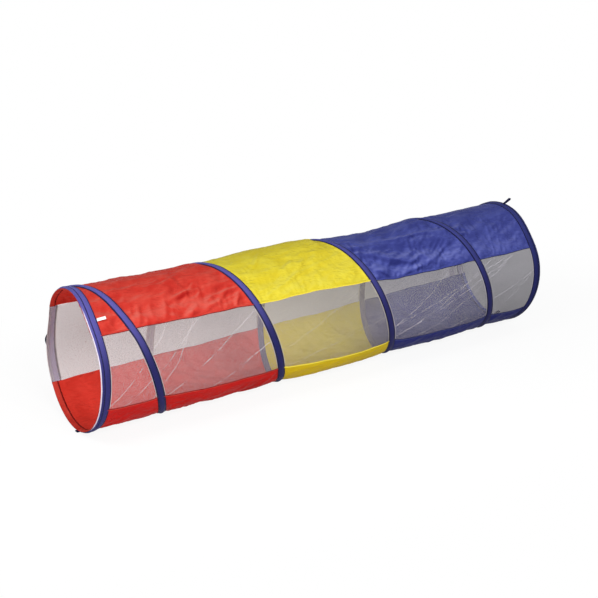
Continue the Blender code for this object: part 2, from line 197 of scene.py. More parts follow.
def seam_angle(seam_deg, along):
    """A seam's angle. The cloth is twisted a little from mouth to mouth, and no seam is dead straight."""
    seam_deg = seam_deg + (seam_deg == SEAMS_DEG["front_top"]) * np.interp(along, DROOP_ALONG, DROOP_DEG)
    waver = sum(deg * np.sin(along * waves + shift * seam_deg) for deg, waves, shift in SEAM_WAVERS)
    return seam_deg + SEAM_TWIST_DEG * (along / LENGTH - 0.5) + waver


print("the coil's wire ends", round(float(coil_at(COIL_TURNED_DEG)), 3), "m from the near mouth")

# %% [markdown]
# The camera stands in front of the red mouth and a little above the tunnel, far enough away for a long
# lens. Its place was worked out from the photograph's mouths, bands and seams, and is written here as the
# turn round the tunnel, the height above the horizon and the distance.

# %% Camera
CAMERA_AZIMUTH_DEG = -33.13
CAMERA_ELEVATION_DEG = 20.51
CAMERA_DISTANCE = 4.1045
CAMERA_TARGET = (0.0102, 0.0832, AXIS_HEIGHT)
LENS_MM = 68.17


def added(name, data, stands_at=(0, 0, 0), looks=None):
    """A new object in the scene. looks is the direction in which a camera or a lamp points."""
    made = bpy.data.objects.new(name, data)
    made.location = stands_at
    if looks is not None:
        made.rotation_mode = "QUATERNION"
        made.rotation_quaternion = looks.to_track_quat("-Z", "Y")
    bpy.context.scene.collection.objects.link(made)
    return made


azimuth, elevation = math.radians(CAMERA_AZIMUTH_DEG), math.radians(CAMERA_ELEVATION_DEG)
backwards = Vector((
    math.sin(azimuth) * math.cos(elevation), -math.cos(azimuth) * math.cos(elevation), math.sin(elevation)
))
camera_at = Vector(CAMERA_TARGET) + backwards * CAMERA_DISTANCE
camera = added("camera", bpy.data.cameras.new("camera"), camera_at, -backwards)
camera.data.lens = LENS_MM
bpy.context.scene.camera = camera
print("camera at", [round(c, 3) for c in camera.location])

# %% [markdown]
# Shaders are sums, so they are written here as sums. A Wire stands for one socket's output, and each
# operator on it adds a Math node. Everything else goes through one method, node, which sets a node's own
# settings first and then its sockets. With these two, a weave is a line of arithmetic.


# %% Writing shaders as arithmetic
class Wire:
    """One output socket of a node. Operators on it add Math nodes."""

    def __init__(self, graph, socket):
        self.graph, self.socket = graph, socket

    def math(self, operation, *others):
        values = dict(enumerate((self, *others)))
        return self.graph.node("ShaderNodeMath", {"operation": operation}, values)

    def between(self, low, high):
        """0 below low, 1 above high, and a smooth step from one to the other."""
        settings = {"interpolation_type": "SMOOTHSTEP"}
        return self.graph.node("ShaderNodeMapRange", settings, {0: self, 1: low, 2: high, 3: 0.0, 4: 1.0})

    def clamped(self):
        return self.math("MAXIMUM", 0.0).math("MINIMUM", 1.0)

    def __add__(self, other):
        return self.math("ADD", other)

    def __sub__(self, other):
        return self.math("SUBTRACT", other)

    def __rsub__(self, other):
        return self.graph.node("ShaderNodeMath", {"operation": "SUBTRACT"}, {0: other, 1: self})

    def __mul__(self, other):
        return self.math("MULTIPLY", other)

    def __truediv__(self, other):
        return self.math("DIVIDE", other)

    __radd__ = __add__
    __rmul__ = __mul__


class Graph:
    """The nodes of a material or of the world. constants are values of the shader's own sockets."""

    def __init__(self, owner, shader, constants):
        owner.use_nodes = True
        self.owner, self.tree = owner, owner.node_tree
        self.shader = self.tree.nodes[shader]
        for socket, value in constants.items():
            self.shader.inputs[socket.replace("_", " ")].default_value = value

    def node(self, kind, settings=None, inputs=None, output=0):
        made = self.tree.nodes.new(kind)
        for setting, value in (settings or {}).items():
            setattr(made, setting, value)
        for socket, value in (inputs or {}).items():
            if isinstance(value, Wire):
                self.tree.links.new(value.socket, made.inputs[socket])
            else:
                made.inputs[socket].default_value = value
        return Wire(self, made.outputs[output])

    def vector(self, operation, inputs, output=0):
        return self.node("ShaderNodeVectorMath", {"operation": operation}, inputs, output)

    def part(self, vector, axis):
        """One of a vector's three numbers."""
        return self.node("ShaderNodeSeparateXYZ", None, {0: vector}, axis)

    def position(self):
        return self.node("ShaderNodeNewGeometry", None, None, "Position")

    def feed(self, socket, wire):
        self.tree.links.new(wire.socket, self.shader.inputs[socket])

    def show(self, wire, output):
        """Make a mixed shader the one that is seen."""
        self.tree.links.new(wire.socket, self.tree.nodes[output].inputs["Surface"])

    def mix(self, share, first, second):
        """Two colours mixed by a share."""
        pair = [c if isinstance(c, Wire) else (*c, 1.0) for c in (first, second)]
        return self.node("ShaderNodeMix", {"data_type": "RGBA"}, {0: share, 6: pair[0], 7: pair[1]}, 2)

    def cloth_axes(self):
        """The cloth's own directions in metres: across and along."""
        uv = self.node("ShaderNodeUVMap", {"uv_map": "cloth"})
        return uv, self.part(uv, 0), self.part(uv, 1)

    def cloud(self, vector, scale, detail=2.0, roughness=0.5):
        inputs = {"Vector": vector, "Scale": scale, "Detail": detail, "Roughness": roughness}
        return self.node("ShaderNodeTexNoise", None, inputs, 0)

    def relief(self, height, depth, strength=1.0):
        inputs = {"Strength": strength, "Distance": depth, "Height": height}
        self.feed("Normal", self.node("ShaderNodeBump", None, inputs))


def new_material(name, **constants):
    return Graph(bpy.data.materials.new(name), "Principled BSDF", constants)


def scaled(colour, share):
    return tuple(share * c for c in colour)


def strongest(wires):
    """The largest of several values at each point."""
    most, *others = wires
    for other in others:
        most = most.math("MAXIMUM", other)
    return most


print("shader helpers ready")

# %% [markdown]
# Taffeta is a tight plain weave of very fine, bright yarn. Three things make it look as it does: yarns that
# go over and under each other every third of a millimetre, creases left by folding that catch the light as
# fine lines, and a painted highlight that makes the colour a little paler along those creases. The dye is
# even, so apart from that the colour changes only in soft, faint clouds, and on the top panels in painted
# highlight and shade on the slopes of the folds.

# %% Taffeta
YARN_PITCH = 0.0007
TURN = 2 * math.pi
# Fine creases: how their lines run across the cloth, and how many there are to the metre
CREASE_RUNS = ((35.0, 42.0), (112.0, 34.0), (64.0, 70.0))
CREASE_STRETCH = 0.30
CREASE_LINE = 0.13
# Soft clouds and small unevenness, to the metre
CLOUDS, GRAINS = 12.0, 60.0
# How far the weave and the small unevenness stand out beside a crease
WEAVE_SHARE, GRAIN_SHARE = 0.02, 0.8
# How much of the paler colour shows in soft clouds, and along the creases as a painted highlight
CLOUD_FADE, CREASE_PAINTED_HIGHLIGHT = 0.45, 0.40
# Roughness where the cloth is smoothest, and how much a cloud adds
TAFFETA_ROUGHNESS, CLOUD_ROUGHNESS = 0.38, 0.16
# Between which distances from a sewn line the colour painted along it fades out
SEWN_FROM, SEWN_TO = 0.0012, 0.0036


def taffeta(name, colour, pale, edge=None, relief=0.0015, painted_slope_light=None):
    """edge is the colour painted along a strip's sewn line: on red and blue cloth a painted shade, for the
    groove that its stitches pull down, and on yellow cloth the colour of its stitches. painted_slope_light
    is how strongly slopes change the colour, and the colours painted on upward and on downward slopes, as
    painted highlight and painted shade."""
    graph = new_material(name, Specular_IOR_Level=0.012)
    uv, across, along = graph.cloth_axes()
    weave = (across * (TURN / YARN_PITCH)).math("SINE") * (along * (TURN / YARN_PITCH)).math("SINE")
    lines = []
    for run_deg, scale in CREASE_RUNS:
        turn, stretch = (0.0, 0.0, math.radians(run_deg)), (1.0, CREASE_STRETCH, 1.0)
        turned = graph.node("ShaderNodeMapping", None, {"Vector": uv, "Rotation": turn, "Scale": stretch})
        drawn_out = graph.cloud(turned, scale, 2.0, 0.55)
        shown = graph.cloud(uv, scale * 0.35, 1.0).between(0.42, 0.62)
        lines.append((1 - (drawn_out - 0.5).math("ABSOLUTE").between(0.0, CREASE_LINE)) * shown)
    crease = strongest(lines)
    patches = graph.cloud(uv, CLOUDS, 4.0, 0.6)
    # Random paler clouds, and a painted highlight along the creases
    tone = graph.mix(patches.between(0.30, 0.70) * CLOUD_FADE + crease * CREASE_PAINTED_HIGHLIGHT, colour, pale)
    if painted_slope_light:
        gain, bright, deep = painted_slope_light
        # Painted highlight where the cloth rises towards the front, and painted shade where it falls
        slope = graph.node("ShaderNodeAttribute", {"attribute_name": "slope"}, None, "Fac") * gain
        tone = graph.mix(slope.clamped(), tone, bright)
        tone = graph.mix((slope * -1.0).clamped(), tone, deep)
    # The colour painted along a sewn line: on red and blue cloth a painted shade of its groove
    if edge:
        sewn = 1 - across.math("ABSOLUTE").between(SEWN_FROM, SEWN_TO)
        tone = graph.mix(sewn, tone, edge)
    graph.feed("Base Color", tone)
    graph.feed("Roughness", patches * CLOUD_ROUGHNESS + TAFFETA_ROUGHNESS)
    grain = graph.cloud(uv, GRAINS, 3.0, 0.6)
    graph.relief(crease + weave * WEAVE_SHARE + grain * GRAIN_SHARE, relief, 0.9)
    return graph.owner


RED_COLOURS = ((0.46, 0.029, 0.020), (0.55, 0.060, 0.042))
YELLOW_COLOURS = ((0.56, 0.455, 0.024), (0.61, 0.53, 0.05))
BLUE_COLOURS = ((0.038, 0.047, 0.21), (0.068, 0.084, 0.31))
# Painted highlight and shade on the top panels' folds: how strongly the slope counts, and the colours
# painted where the cloth rises towards the front and where it falls
RED_PAINTED_SLOPE_LIGHT = (0.9, (0.62, 0.13, 0.10), (0.32, 0.012, 0.010))
YELLOW_PAINTED_SLOPE_LIGHT = (0.6, (0.63, 0.57, 0.11), (0.46, 0.34, 0.010))
BLUE_PAINTED_SLOPE_LIGHT = (1.3, (0.135, 0.155, 0.43), (0.022, 0.027, 0.14))
RED = taffeta("red_taffeta_cloth", *RED_COLOURS, painted_slope_light=RED_PAINTED_SLOPE_LIGHT)
YELLOW = taffeta("yellow_taffeta_cloth", *YELLOW_COLOURS, painted_slope_light=YELLOW_PAINTED_SLOPE_LIGHT)
BLUE = taffeta("blue_taffeta_cloth", *BLUE_COLOURS, painted_slope_light=BLUE_PAINTED_SLOPE_LIGHT)
# Seam folds and mouth hems: a painted shade along the sewn line on red and blue, and the stitches' yellow on
# yellow
RED_FOLD = taffeta("red_seam_fold_cloth", *RED_COLOURS, edge=(0.16, 0.008, 0.008))
YELLOW_FOLD = taffeta("yellow_seam_fold_cloth", *YELLOW_COLOURS, edge=(0.74, 0.60, 0.05))
BLUE_FOLD = taffeta("blue_seam_fold_cloth", *BLUE_COLOURS, edge=(0.012, 0.014, 0.06))
# The bottom panels get darker, deeper copies of each cloth: painted shade
PAINTED_SHADE_BOTTOMS = {
    "red": taffeta("red_bottom_cloth", (0.36, 0.010, 0.009), (0.42, 0.015, 0.013)),
    "yellow": taffeta("yellow_bottom_cloth", (0.50, 0.36, 0.010), (0.55, 0.41, 0.014), relief=0.0009),
    "blue": taffeta("blue_bottom_cloth", (0.020, 0.023, 0.13), (0.027, 0.031, 0.16)),
}
# The cloth's inner face, which is seen inside the tunnel, gets its own copy of each colour, lighter or
# darker than the outer face's: painted light and shade for how the inside is lit
PAINTED_INSIDE = {
    "red": taffeta("red_wrong_side_cloth", (0.58, 0.034, 0.022), (0.66, 0.050, 0.034), relief=0.0009),
    "yellow": taffeta("yellow_wrong_side_cloth", (0.62, 0.49, 0.020), (0.66, 0.54, 0.030), relief=0.0005),
    "blue": taffeta("blue_wrong_side_cloth", (0.030, 0.034, 0.17), (0.045, 0.052, 0.21), relief=0.0007),
}
print("taffetas:", RED.name, YELLOW.name, BLUE.name, "and", len(PAINTED_SHADE_BOTTOMS) + len(PAINTED_INSIDE), "more")

# %% [markdown]
# The net is a fine knitted mesh, three quarters of which is holes, in staggered rows. The holes are cut
# with the shader's alpha, from the distance to the nearest hole's middle. Modelling them would take well
# over a hundred thousand holes for the same look. The rows are made a little uneven, as knitting is. Two
# even nets, one seen through the other, would show bands that the real ones don't.

# %% Net
HOLE_PITCH = 0.0026
HOLE_SHARE = 0.490
HOLE_SOFTNESS = 0.04
KNIT_UNEVENNESS = 0.0022
# To the metre: the knit's wobbles, a crease's wavers and breaks, soft clouds, and grain
WOBBLES, WAVERS, BREAKS, NET_CLOUDS, NET_GRAINS = 110.0, 7.0, 22.0, 14.0, 240.0
# How far a crease strays from a straight line, in metres, and how much the knit's slow clouds show
CREASE_WAVER, CLOUD_SHARE = 0.030, 0.14


def net(name, thread, creases, grain_share, crease_share):
    """creases are straight folds across the cloth. Each passes a point and runs at an angle, in the
    cloth's own metres, and has a width. The shares say how much the knit's grain and the creases show."""
    graph = new_material(name, Roughness=0.75, Specular_IOR_Level=0.2)
    uv, across, along = graph.cloth_axes()
    wobble = graph.node("ShaderNodeTexNoise", None, {"Vector": uv, "Scale": WOBBLES, "Detail": 1.0}, 1)
    centred = graph.vector("SUBTRACT", {0: wobble, 1: (0.5, 0.5, 0.5)})
    knit = graph.vector("ADD", {0: uv, 1: graph.vector("SCALE", {0: centred, 3: KNIT_UNEVENNESS})})
    row = graph.part(knit, 1) / HOLE_PITCH
    shift = row.math("FLOOR").math("MODULO", 2.0) * 0.5
    column = graph.part(knit, 0) / HOLE_PITCH + shift
    from_middle = (
        (column.math("FRACT") - 0.5).math("POWER", 2.0) + (row.math("FRACT") - 0.5).math("POWER", 2.0)
    ).math("SQRT")
    thread_share = from_middle.between(HOLE_SHARE - HOLE_SOFTNESS, HOLE_SHARE + HOLE_SOFTNESS)
    waver = (graph.cloud(uv, WAVERS, 2.0) - 0.5) * CREASE_WAVER
    lines = []
    for at_across, at_along, run_deg, width in creases:
        turn = math.radians(run_deg)
        off = (across - at_across) * -math.sin(turn) + (along - at_along) * math.cos(turn) + waver
        lines.append(1 - (off.math("ABSOLUTE") / width).between(0.15, 1.0))
    patches = graph.cloud(uv, NET_CLOUDS, 3.0)
    broken = strongest(lines) * graph.cloud(uv, BREAKS, 1.0).between(0.30, 0.50)
    grain = graph.cloud(uv, NET_GRAINS, 1.0)
    closer = broken * crease_share + (patches - 0.5) * CLOUD_SHARE + (grain - 0.5) * grain_share
    graph.feed("Alpha", (thread_share + closer).clamped())
    graph.feed("Base Color", graph.mix(patches, scaled(thread, 0.86), thread))
    graph.relief(1 - from_middle, 0.0004, 0.3)
    return graph.owner


print("net: holes every", HOLE_PITCH, "m")

# %% [markdown]
# The casing tape is a dense polyester tape, blue-purple, with a fine rib across it. A line of stitches runs
# along each edge and pulls the tape down into a groove, whose shadow is painted on, so that the edges look
# nearly black. The crown over the wire looks silky, and it is painted palest along the top of the tunnel, a
# painted highlight.

# %% Casing tape
RIB_PITCH = 0.0012
# How far in from its edges a tape is painted dark, as painted shade, and how far out from a line of stitches
EDGE_DARK, EDGE_CLEAR = 0.0022, 0.0040
GROOVE_DARK, GROOVE_CLEAR = 0.0010, 0.0024
DARK_SHARE = 0.92
# Where the edge that is bound over the near mouth fades in and out: its heights, as shares of the radius,
# and its width
BESIDE_LOW, BESIDE_HIGH, BOUND_EDGE = (-0.84, -0.66), (0.80, 0.92), (0.0020, 0.0034)


def tape(name, crown, top_highlight, width, grooves, far_top_highlight=None, mouth_edge=None):
    """A stitched tape, with a painted highlight along the top of the tunnel and painted shade at its edges
    and grooves. grooves are the places across it, in metres, where its stitches pull it down.
    far_top_highlight is what top_highlight turns into along the coil. mouth_edge is the colour of the side
    edge that is bound over the mouth, where that shows."""
    graph = new_material(name, Specular_IOR_Level=0.03)
    uv, across, along = graph.cloth_axes()
    rib = (along * (TURN / RIB_PITCH)).math("SINE")
    yarn = (across * (TURN / YARN_PITCH)).math("SINE")
    from_middle = across - width / 2
    if not mouth_edge:
        from_middle = from_middle.math("ABSOLUTE")
    shades = [from_middle.between(width / 2 - EDGE_CLEAR, width / 2 - EDGE_DARK)]
    for groove in grooves:
        beside = (across - groove).math("ABSOLUTE")
        shades.append(1 - beside.between(GROOVE_DARK, GROOVE_CLEAR))
    patches = graph.cloud(uv, 30.0, 3.0)
    worn_and_highlit = graph.mix(patches, scaled(crown, 0.75), crown)
    # Painted highlight: the crown is painted paler along the top of the tunnel, and along the coil it turns
    # dimmer towards the far mouth
    height = (along / TAPE_RADIUS).math("COSINE")
    if far_top_highlight:
        top_highlight = graph.mix((along / COIL_ROUND).between(0.0, 0.9), top_highlight, far_top_highlight)
    worn_and_highlit = graph.mix(height.between(0.05, 0.95), worn_and_highlit, top_highlight)
    # Painted shade at the edges and along the grooves
    tone = graph.mix(strongest(shades) * DARK_SHARE, worn_and_highlit, TAPE_PAINTED_SHADE)
    if mouth_edge:
        at_side = (1 - height.between(*BESIDE_HIGH)) * height.between(*BESIDE_LOW)
        tone = graph.mix(at_side * (1 - across.between(*BOUND_EDGE)), tone, mouth_edge)
    graph.feed("Base Color", tone)
    graph.feed("Roughness", patches * 0.15 + 0.42)
    graph.relief(rib * 0.4 + yarn * 0.2 + graph.cloud(uv, 220.0, 3.0) * 1.2, 0.0006, 0.6)
    return graph.owner


print("tape: a rib every", RIB_PITCH, "m")

# %% [markdown]
# The small pieces have plain finishes. Ribbon, satin and bindings are plain weaves that differ in their
# pitch. Thread is matt and uneven with its twist. Spring steel is drawn through a die, which leaves it
# bright, with fine marks. Each is one small function, so that a colour is all that is left to choose.


# %% Plain weaves, thread and steel
def plain_weave(name, colour, pitch, roughness):
    graph = new_material(name, Specular_IOR_Level=0.08)
    uv, across, along = graph.cloth_axes()
    weave = (across * (TURN / pitch)).math("SINE") * (along * (TURN / pitch)).math("SINE")
    patches = graph.cloud(uv, 120.0, 3.0)
    graph.feed("Base Color", graph.mix(patches, colour, scaled(colour, 0.8)))
    graph.feed("Roughness", patches * 0.1 + roughness)
    graph.relief(weave + patches, 0.0003, 0.6)
    return graph.owner


def thread(name, colour):
    graph = new_material(name, Sheen_Weight=0.2)
    twist = graph.cloud(graph.position(), 900.0, 2.0)
    graph.feed("Base Color", graph.mix(twist, colour, scaled(colour, 0.7)))
    graph.feed("Roughness", twist * 0.2 + 0.45)
    graph.relief(twist, 0.0002, 0.6)
    return graph.owner


def spring_steel():
    graph = new_material("drawn_spring_steel", Metallic=1.0)
    drawn = graph.cloud(graph.position(), 700.0, 4.0, 0.7)
    graph.feed("Base Color", graph.mix(drawn, (0.42, 0.41, 0.40), (0.60, 0.60, 0.61)))
    graph.feed("Roughness", drawn * 0.25 + 0.22)
    graph.relief(drawn, 0.0001, 0.3)
    return graph.owner


print("weaves, thread and steel ready")

# %% The finishes of the tapes and of the small pieces
# The tapes' painted shade, and their crowns with the painted highlight along the top
TAPE_PAINTED_SHADE = (0.006, 0.006, 0.028)
TAPE_CROWN, TAPE_TOP_HIGHLIGHT = (0.032, 0.031, 0.145), (0.100, 0.092, 0.34)
COIL_CROWN = (0.021, 0.021, 0.105)
COIL_ROUND = math.radians(COIL_TURNED_DEG) * TAPE_RADIUS
COIL_LINES, RIM_LINES = (0.0032, 0.0248), (0.0109,)
FAR_TOP_HIGHLIGHT, MOUTH_EDGE = (0.040, 0.048, 0.20), (0.66, 0.62, 0.74)
FAR_RIM_CROWN, FAR_RIM_TOP_HIGHLIGHT = (0.018, 0.021, 0.105), (0.030, 0.036, 0.16)
COIL_TAPE = tape("coil_tape_weave", COIL_CROWN, TAPE_TOP_HIGHLIGHT, COIL_TAPE_WIDTH, COIL_LINES, FAR_TOP_HIGHLIGHT)
RIM_TAPES = {
    "near": tape(
        "near_rim_tape_weave", TAPE_CROWN, TAPE_TOP_HIGHLIGHT, RIM_TAPE_WIDTH, RIM_LINES, mouth_edge=MOUTH_EDGE
    ),
    "far": tape("far_rim_tape_weave", FAR_RIM_CROWN, FAR_RIM_TOP_HIGHLIGHT, RIM_TAPE_WIDTH, RIM_LINES),
}
# The tapes' inner faces are painted light lavender, as painted light that comes through the tape's thin
# cloth when it is seen from inside
COIL_BACK = plain_weave("coil_tape_wrong_side", (0.46, 0.42, 0.54), 0.0008, 0.6)
BACK_CROWN = (0.36, 0.32, 0.50)
COIL_BINDING = plain_weave("coil_tape_inner_binding_weave", (0.13, 0.115, 0.22), 0.0008, 0.6)
RIM_BACK = tape("rim_tape_wrong_side", BACK_CROWN, BACK_CROWN, RIM_TAPE_WIDTH, (0.0290,))
RIBBON = plain_weave("dark_ribbon_weave", (0.010, 0.010, 0.045), 0.0006, 0.6)
LABEL = plain_weave("white_label_satin", (0.86, 0.85, 0.84), 0.0004, 0.5)
NAVY_THREAD = thread("navy_thread", (0.010, 0.010, 0.05))
RED_THREAD = thread("red_thread", (0.20, 0.010, 0.008))
YELLOW_THREAD = thread("yellow_thread", (0.86, 0.76, 0.05))
BLUE_THREAD = thread("blue_thread", (0.012, 0.014, 0.08))
STEEL = spring_steel()
print("finishes:", len(bpy.data.materials), "in all so far")

# %% [markdown]
# Every piece of cloth is a grid of points, so one function makes them all. It also writes a cloth map in
# metres, which the weave, the holes and the ribs follow. A piece with a thickness of its own, such as a
# tape, is a closed outline swept along a path, and another function makes those.


# %% Making meshes from grids
def make_piece(name, points, faces, uvs, material):
    mesh = bpy.data.meshes.new(name)
    mesh.from_pydata(points.tolist(), [], [list(f) for f in faces])
    layer = mesh.uv_layers.new(name="cloth")
    layer.data.foreach_set("uv", np.asarray(uvs, np.float32).ravel())
    mesh.materials.append(material)
    mesh.shade_smooth()
    return added(name, mesh)


def grid_faces(rows, columns):
    index = np.arange(rows * columns).reshape(rows, columns)
    corners = [index[:-1, :-1], index[:-1, 1:], index[1:, 1:], index[1:, :-1]]
    return np.stack(corners, -1).reshape(-1, 4)


def sheet_piece(name, grid, uv, material, thickness=None, inside=None, slope=None):
    """An open sheet over a grid of points. A thickness makes it two faces with a closed edge, and inside
    is the material of the inner face. slope is how steeply each point rises towards the front."""
    faces = grid_faces(*grid.shape[:2])
    piece = make_piece(name, grid.reshape(-1, 3), faces, uv.reshape(-1, 2)[faces.ravel()], material)
    middle = piece.data.polygons[len(faces) // 2]
    outwards = Vector((0, middle.center.y, middle.center.z - AXIS_HEIGHT))
    if middle.normal.dot(outwards) < 0:
        piece.data.flip_normals()
    if slope is not None:
        layer = piece.data.attributes.new("slope", "FLOAT", "POINT")
        layer.data.foreach_set("value", np.asarray(slope, np.float32).ravel())
    if thickness:
        solid = piece.modifiers.new("thickness", "SOLIDIFY")
        solid.thickness = thickness
        solid.offset = -1.0
        piece.data.materials.append(inside or material)
        solid.material_offset = 1
    return piece


print("a grid of 3 by 4 points has", len(grid_faces(3, 4)), "faces")


# %% Closed strips
def swept_piece(name, sections, uv, material, ring=False):
    """A closed outline at each step of a path. A ring joins its last section to its first."""
    rows, columns = sections.shape[:2]
    wrapped = np.concatenate([sections, sections[:, :1]], 1)
    faces = grid_faces(*wrapped.shape[:2])
    corners = uv.reshape(-1, 2)[faces.ravel()]
    row, column = np.divmod(faces, columns + 1)
    if ring:
        row = row % (rows - 1)
    faces = row * columns + column % columns
    points = sections[:-1] if ring else sections
    face_list = faces.tolist()
    if not ring:
        first, last = np.arange(columns), (rows - 1) * columns + np.arange(columns)
        face_list += [first.tolist(), last.tolist()]
        corners = np.concatenate([corners, uv[0, :columns], uv[-1, :columns]])
    piece = make_piece(name, points.reshape(-1, 3), face_list, corners, material)
    shape = bmesh.new()
    shape.from_mesh(piece.data)
    bmesh.ops.recalc_face_normals(shape, faces=shape.faces)
    shape.to_mesh(piece.data)
    shape.free()
    return piece


def outline_of(top, under):
    """A strip's closed outline at each step: over its top, and back along its underside."""
    return np.concatenate([top, under[:, ::-1]], 1)


def there_and_back(values):
    """Numbers across a strip, in the order of its outline, back to where it began."""
    values = np.atleast_2d(values)
    return np.concatenate([values, values[:, ::-1], values[:, :1]], 1)


def cloth_map(across, along):
    """Where each corner lies on the cloth, in metres."""
    return np.stack(np.broadcast_arrays(across, along), -1)


print("across a strip and back:", there_and_back(np.arange(3)).ravel().tolist())


# %% Noise and distances along a line
def ripple(values, scale, seed):
    """Smooth noise between -1 and 1 along a list of numbers."""
    heights = [noise.noise(Vector((v * scale, seed, 0.5))) for v in np.ravel(values)]
    return np.array(heights).reshape(np.shape(values))


def distance_along(points):
    """How far each point of a path is from its start."""
    return np.concatenate([[0], np.cumsum(np.linalg.norm(np.diff(points, axis=0), axis=1))])


def unit(vectors):
    return vectors / np.maximum(np.linalg.norm(vectors, axis=1, keepdims=True), 1e-9)


print("a ripple at 1 m:", round(float(ripple(1.0, 18.0, 5.0)), 3))

# %% [markdown]
# Each panel is held along all four sides: by two seams, and by a wire at each end. Between the wires the
# top sags under its own weight and the bottom spreads on the floor. The sags are named for each bay, a
# bay being the cloth between two turns of the wire. The blue cloth is the slackest.

# %% Where the cloth is held, and how it sags
# Metres by bay: how far the front of the top sags, its back fills out, and the sides fill out near the floor
TOP_SAGS = {"red": (0.001, 0.003), "yellow": (0.005,), "blue": (0.011, 0.011)}
BACK_FILLS = {"red": (0.001, 0.002), "yellow": (0.010,), "blue": (0.001, 0.001)}
FLOOR_FILLS = {"red": (0.003, 0.009), "yellow": (0.020,), "blue": (0.014, 0.005)}
SAG_DEG, SAG_SPREAD_DEG = 28.0, 38.0
BACK_DEG, BACK_SPREAD_DEG = -32.0, 26.0
FLOOR_DEG, FLOOR_SPREAD_DEG = 124.0, 32.0


def stops(length_name, angle_deg):
    """Where one length of cloth is held along the tunnel, for each angle."""
    if length_name == "red":
        return [0 * angle_deg, np.maximum(coil_along(angle_deg, 0), RIM_DEPTH), coil_along(angle_deg, 1)]
    if length_name == "yellow":
        return [coil_along(angle_deg, 1), coil_along(angle_deg, 2)]
    last_wire = np.minimum(coil_along(angle_deg, 3), LENGTH - RIM_DEPTH)
    return [coil_along(angle_deg, 2), last_wire, LENGTH + 0 * angle_deg]


def slack(length_name, bay, low, high, along, angle_deg):
    """How far the cloth stands out from its wires, in metres. It lies flat where a tape covers it."""
    first = np.maximum(low + COIL_TAPE_WIDTH / 2, RIM_DEPTH)
    last = np.minimum(high - COIL_TAPE_WIDTH / 2, LENGTH - RIM_DEPTH)
    share = np.clip((along - first) / np.maximum(last - first, 1e-6), 0, 1)
    turned = signed_deg(angle_deg)
    hang = TOP_SAGS[length_name][bay] * bump(turned, SAG_DEG, SAG_SPREAD_DEG)
    fill = BACK_FILLS[length_name][bay] * bump(turned, BACK_DEG, BACK_SPREAD_DEG)
    spread = FLOOR_FILLS[length_name][bay] * bump(np.abs(turned), FLOOR_DEG, FLOOR_SPREAD_DEG)
    arch = 4 * share * (1 - share)
    return (fill - hang) * arch + spread * arch**0.7


print("bays:", ", ".join(f"{length_name} {len(sags)}" for length_name, sags in TOP_SAGS.items()))

# %% A panel as a grid
STEP = 0.0042
TWIST_PASSES = 4
FLOOR_GAP = 0.0012
EDGE_FADE = 0.009


def panel_grid(length_name, first_seam, last_seam, step):
    """Angles, places along, slack and distance to the nearest held edge, for one panel's grid."""
    first, last = SEAMS_DEG[first_seam] - 360 * (first_seam == "back_top"), SEAMS_DEG[last_seam]
    columns = int(math.radians(last - first) * CLOTH_RADIUS / step) + 1
    middle_stops = [float(np.mean(s)) for s in stops(length_name, np.array([first, last]))]
    counts = [max(3, int((high - low) / step)) for low, high in zip(middle_stops, middle_stops[1:])]
    bays = np.concatenate([np.full(count, bay) for bay, count in enumerate(counts)] + [[len(counts) - 1]])
    shares = np.concatenate([np.arange(count) / count for count in counts] + [[1.0]])
    across_share = np.linspace(0, 1, columns)[None, :]
    bays, shares = bays.astype(int)[:, None], shares[:, None]
    along = np.full((len(bays), columns), LENGTH / 2)
    for _ in range(TWIST_PASSES):
        low_seam, high_seam = seam_angle(first, along), seam_angle(last, along)
        angle = low_seam + (high_seam - low_seam) * across_share
        held = np.stack(stops(length_name, angle))
        low = np.take_along_axis(held, np.broadcast_to(bays, angle.shape)[None], 0)[0]
        high = np.take_along_axis(held, np.broadcast_to(bays + 1, angle.shape)[None], 0)[0]
        along = low + (high - low) * shares
    stand = np.zeros_like(along)
    for bay in range(len(counts)):
        stand = np.where(bays == bay, slack(length_name, bay, low, high, along, angle), stand)
    arc = np.radians(angle) * CLOTH_RADIUS
    to_seam = np.minimum(angle - low_seam, high_seam - angle) * math.pi / 180 * CLOTH_RADIUS
    to_wire = np.minimum(along - low, high - along)
    free = np.minimum.reduce([
        to_seam, to_wire - COIL_TAPE_WIDTH / 2, along - RIM_DEPTH, LENGTH - RIM_DEPTH - along
    ])
    return {
        "angle": angle, "along": along, "stand": stand, "arc": arc,
        "to_seam": to_seam, "to_wire": to_wire, "fade": np.clip(free / EDGE_FADE, 0, 1),
    }


def on_floor(points, gap=FLOOR_GAP):
    """The same points, none of them lower than just over the floor."""
    points[..., 2] = np.maximum(points[..., 2], gap)
    return points


def laid_out(grid, relief):
    """A panel's distances from the axis, its points and its cloth map. Near its tapes it lies flat."""
    radius = CLOTH_RADIUS + grid["stand"] + relief * grid["fade"]
    points = on_floor(place(radius, grid["angle"], grid["along"]))
    return radius, points, cloth_map(grid["arc"], grid["along"])


print("grid step", STEP, "m")

# %% [markdown]
# Real creases come from cloth that is a little too large for its frame, so that is what is simulated. A
# coarse copy of each panel is pinned along its edges, its threads are told to be one or two parts in a
# hundred longer, and the cloth finds its own folds. Only the fold pattern is kept: the slow, broad sag is
# taken out with a blur, because the sags above are measured, and the folds are laid over them.

# %% A trial panel that crumples by itself
SIM_STEP = 0.009
SIM_FRAMES = 22
SIM_GROWTH = 0.016
FOLD_HEIGHT = 0.0023
FOLD_LIMIT = 0.0062
BLUR_PASSES = 14
SIM_JITTER = 0.0007


def blurred(field, passes):
    for _ in range(passes):
        wide = np.pad(field, 1, mode="edge")
        field = (
            wide[:-2, 1:-1] + wide[2:, 1:-1] + wide[1:-1, :-2] + wide[1:-1, 2:] + 2 * wide[1:-1, 1:-1]
        ) / 6
    return field


def out_from_axis(points):
    return np.hypot(points[..., 1], points[..., 2] - AXIS_HEIGHT)


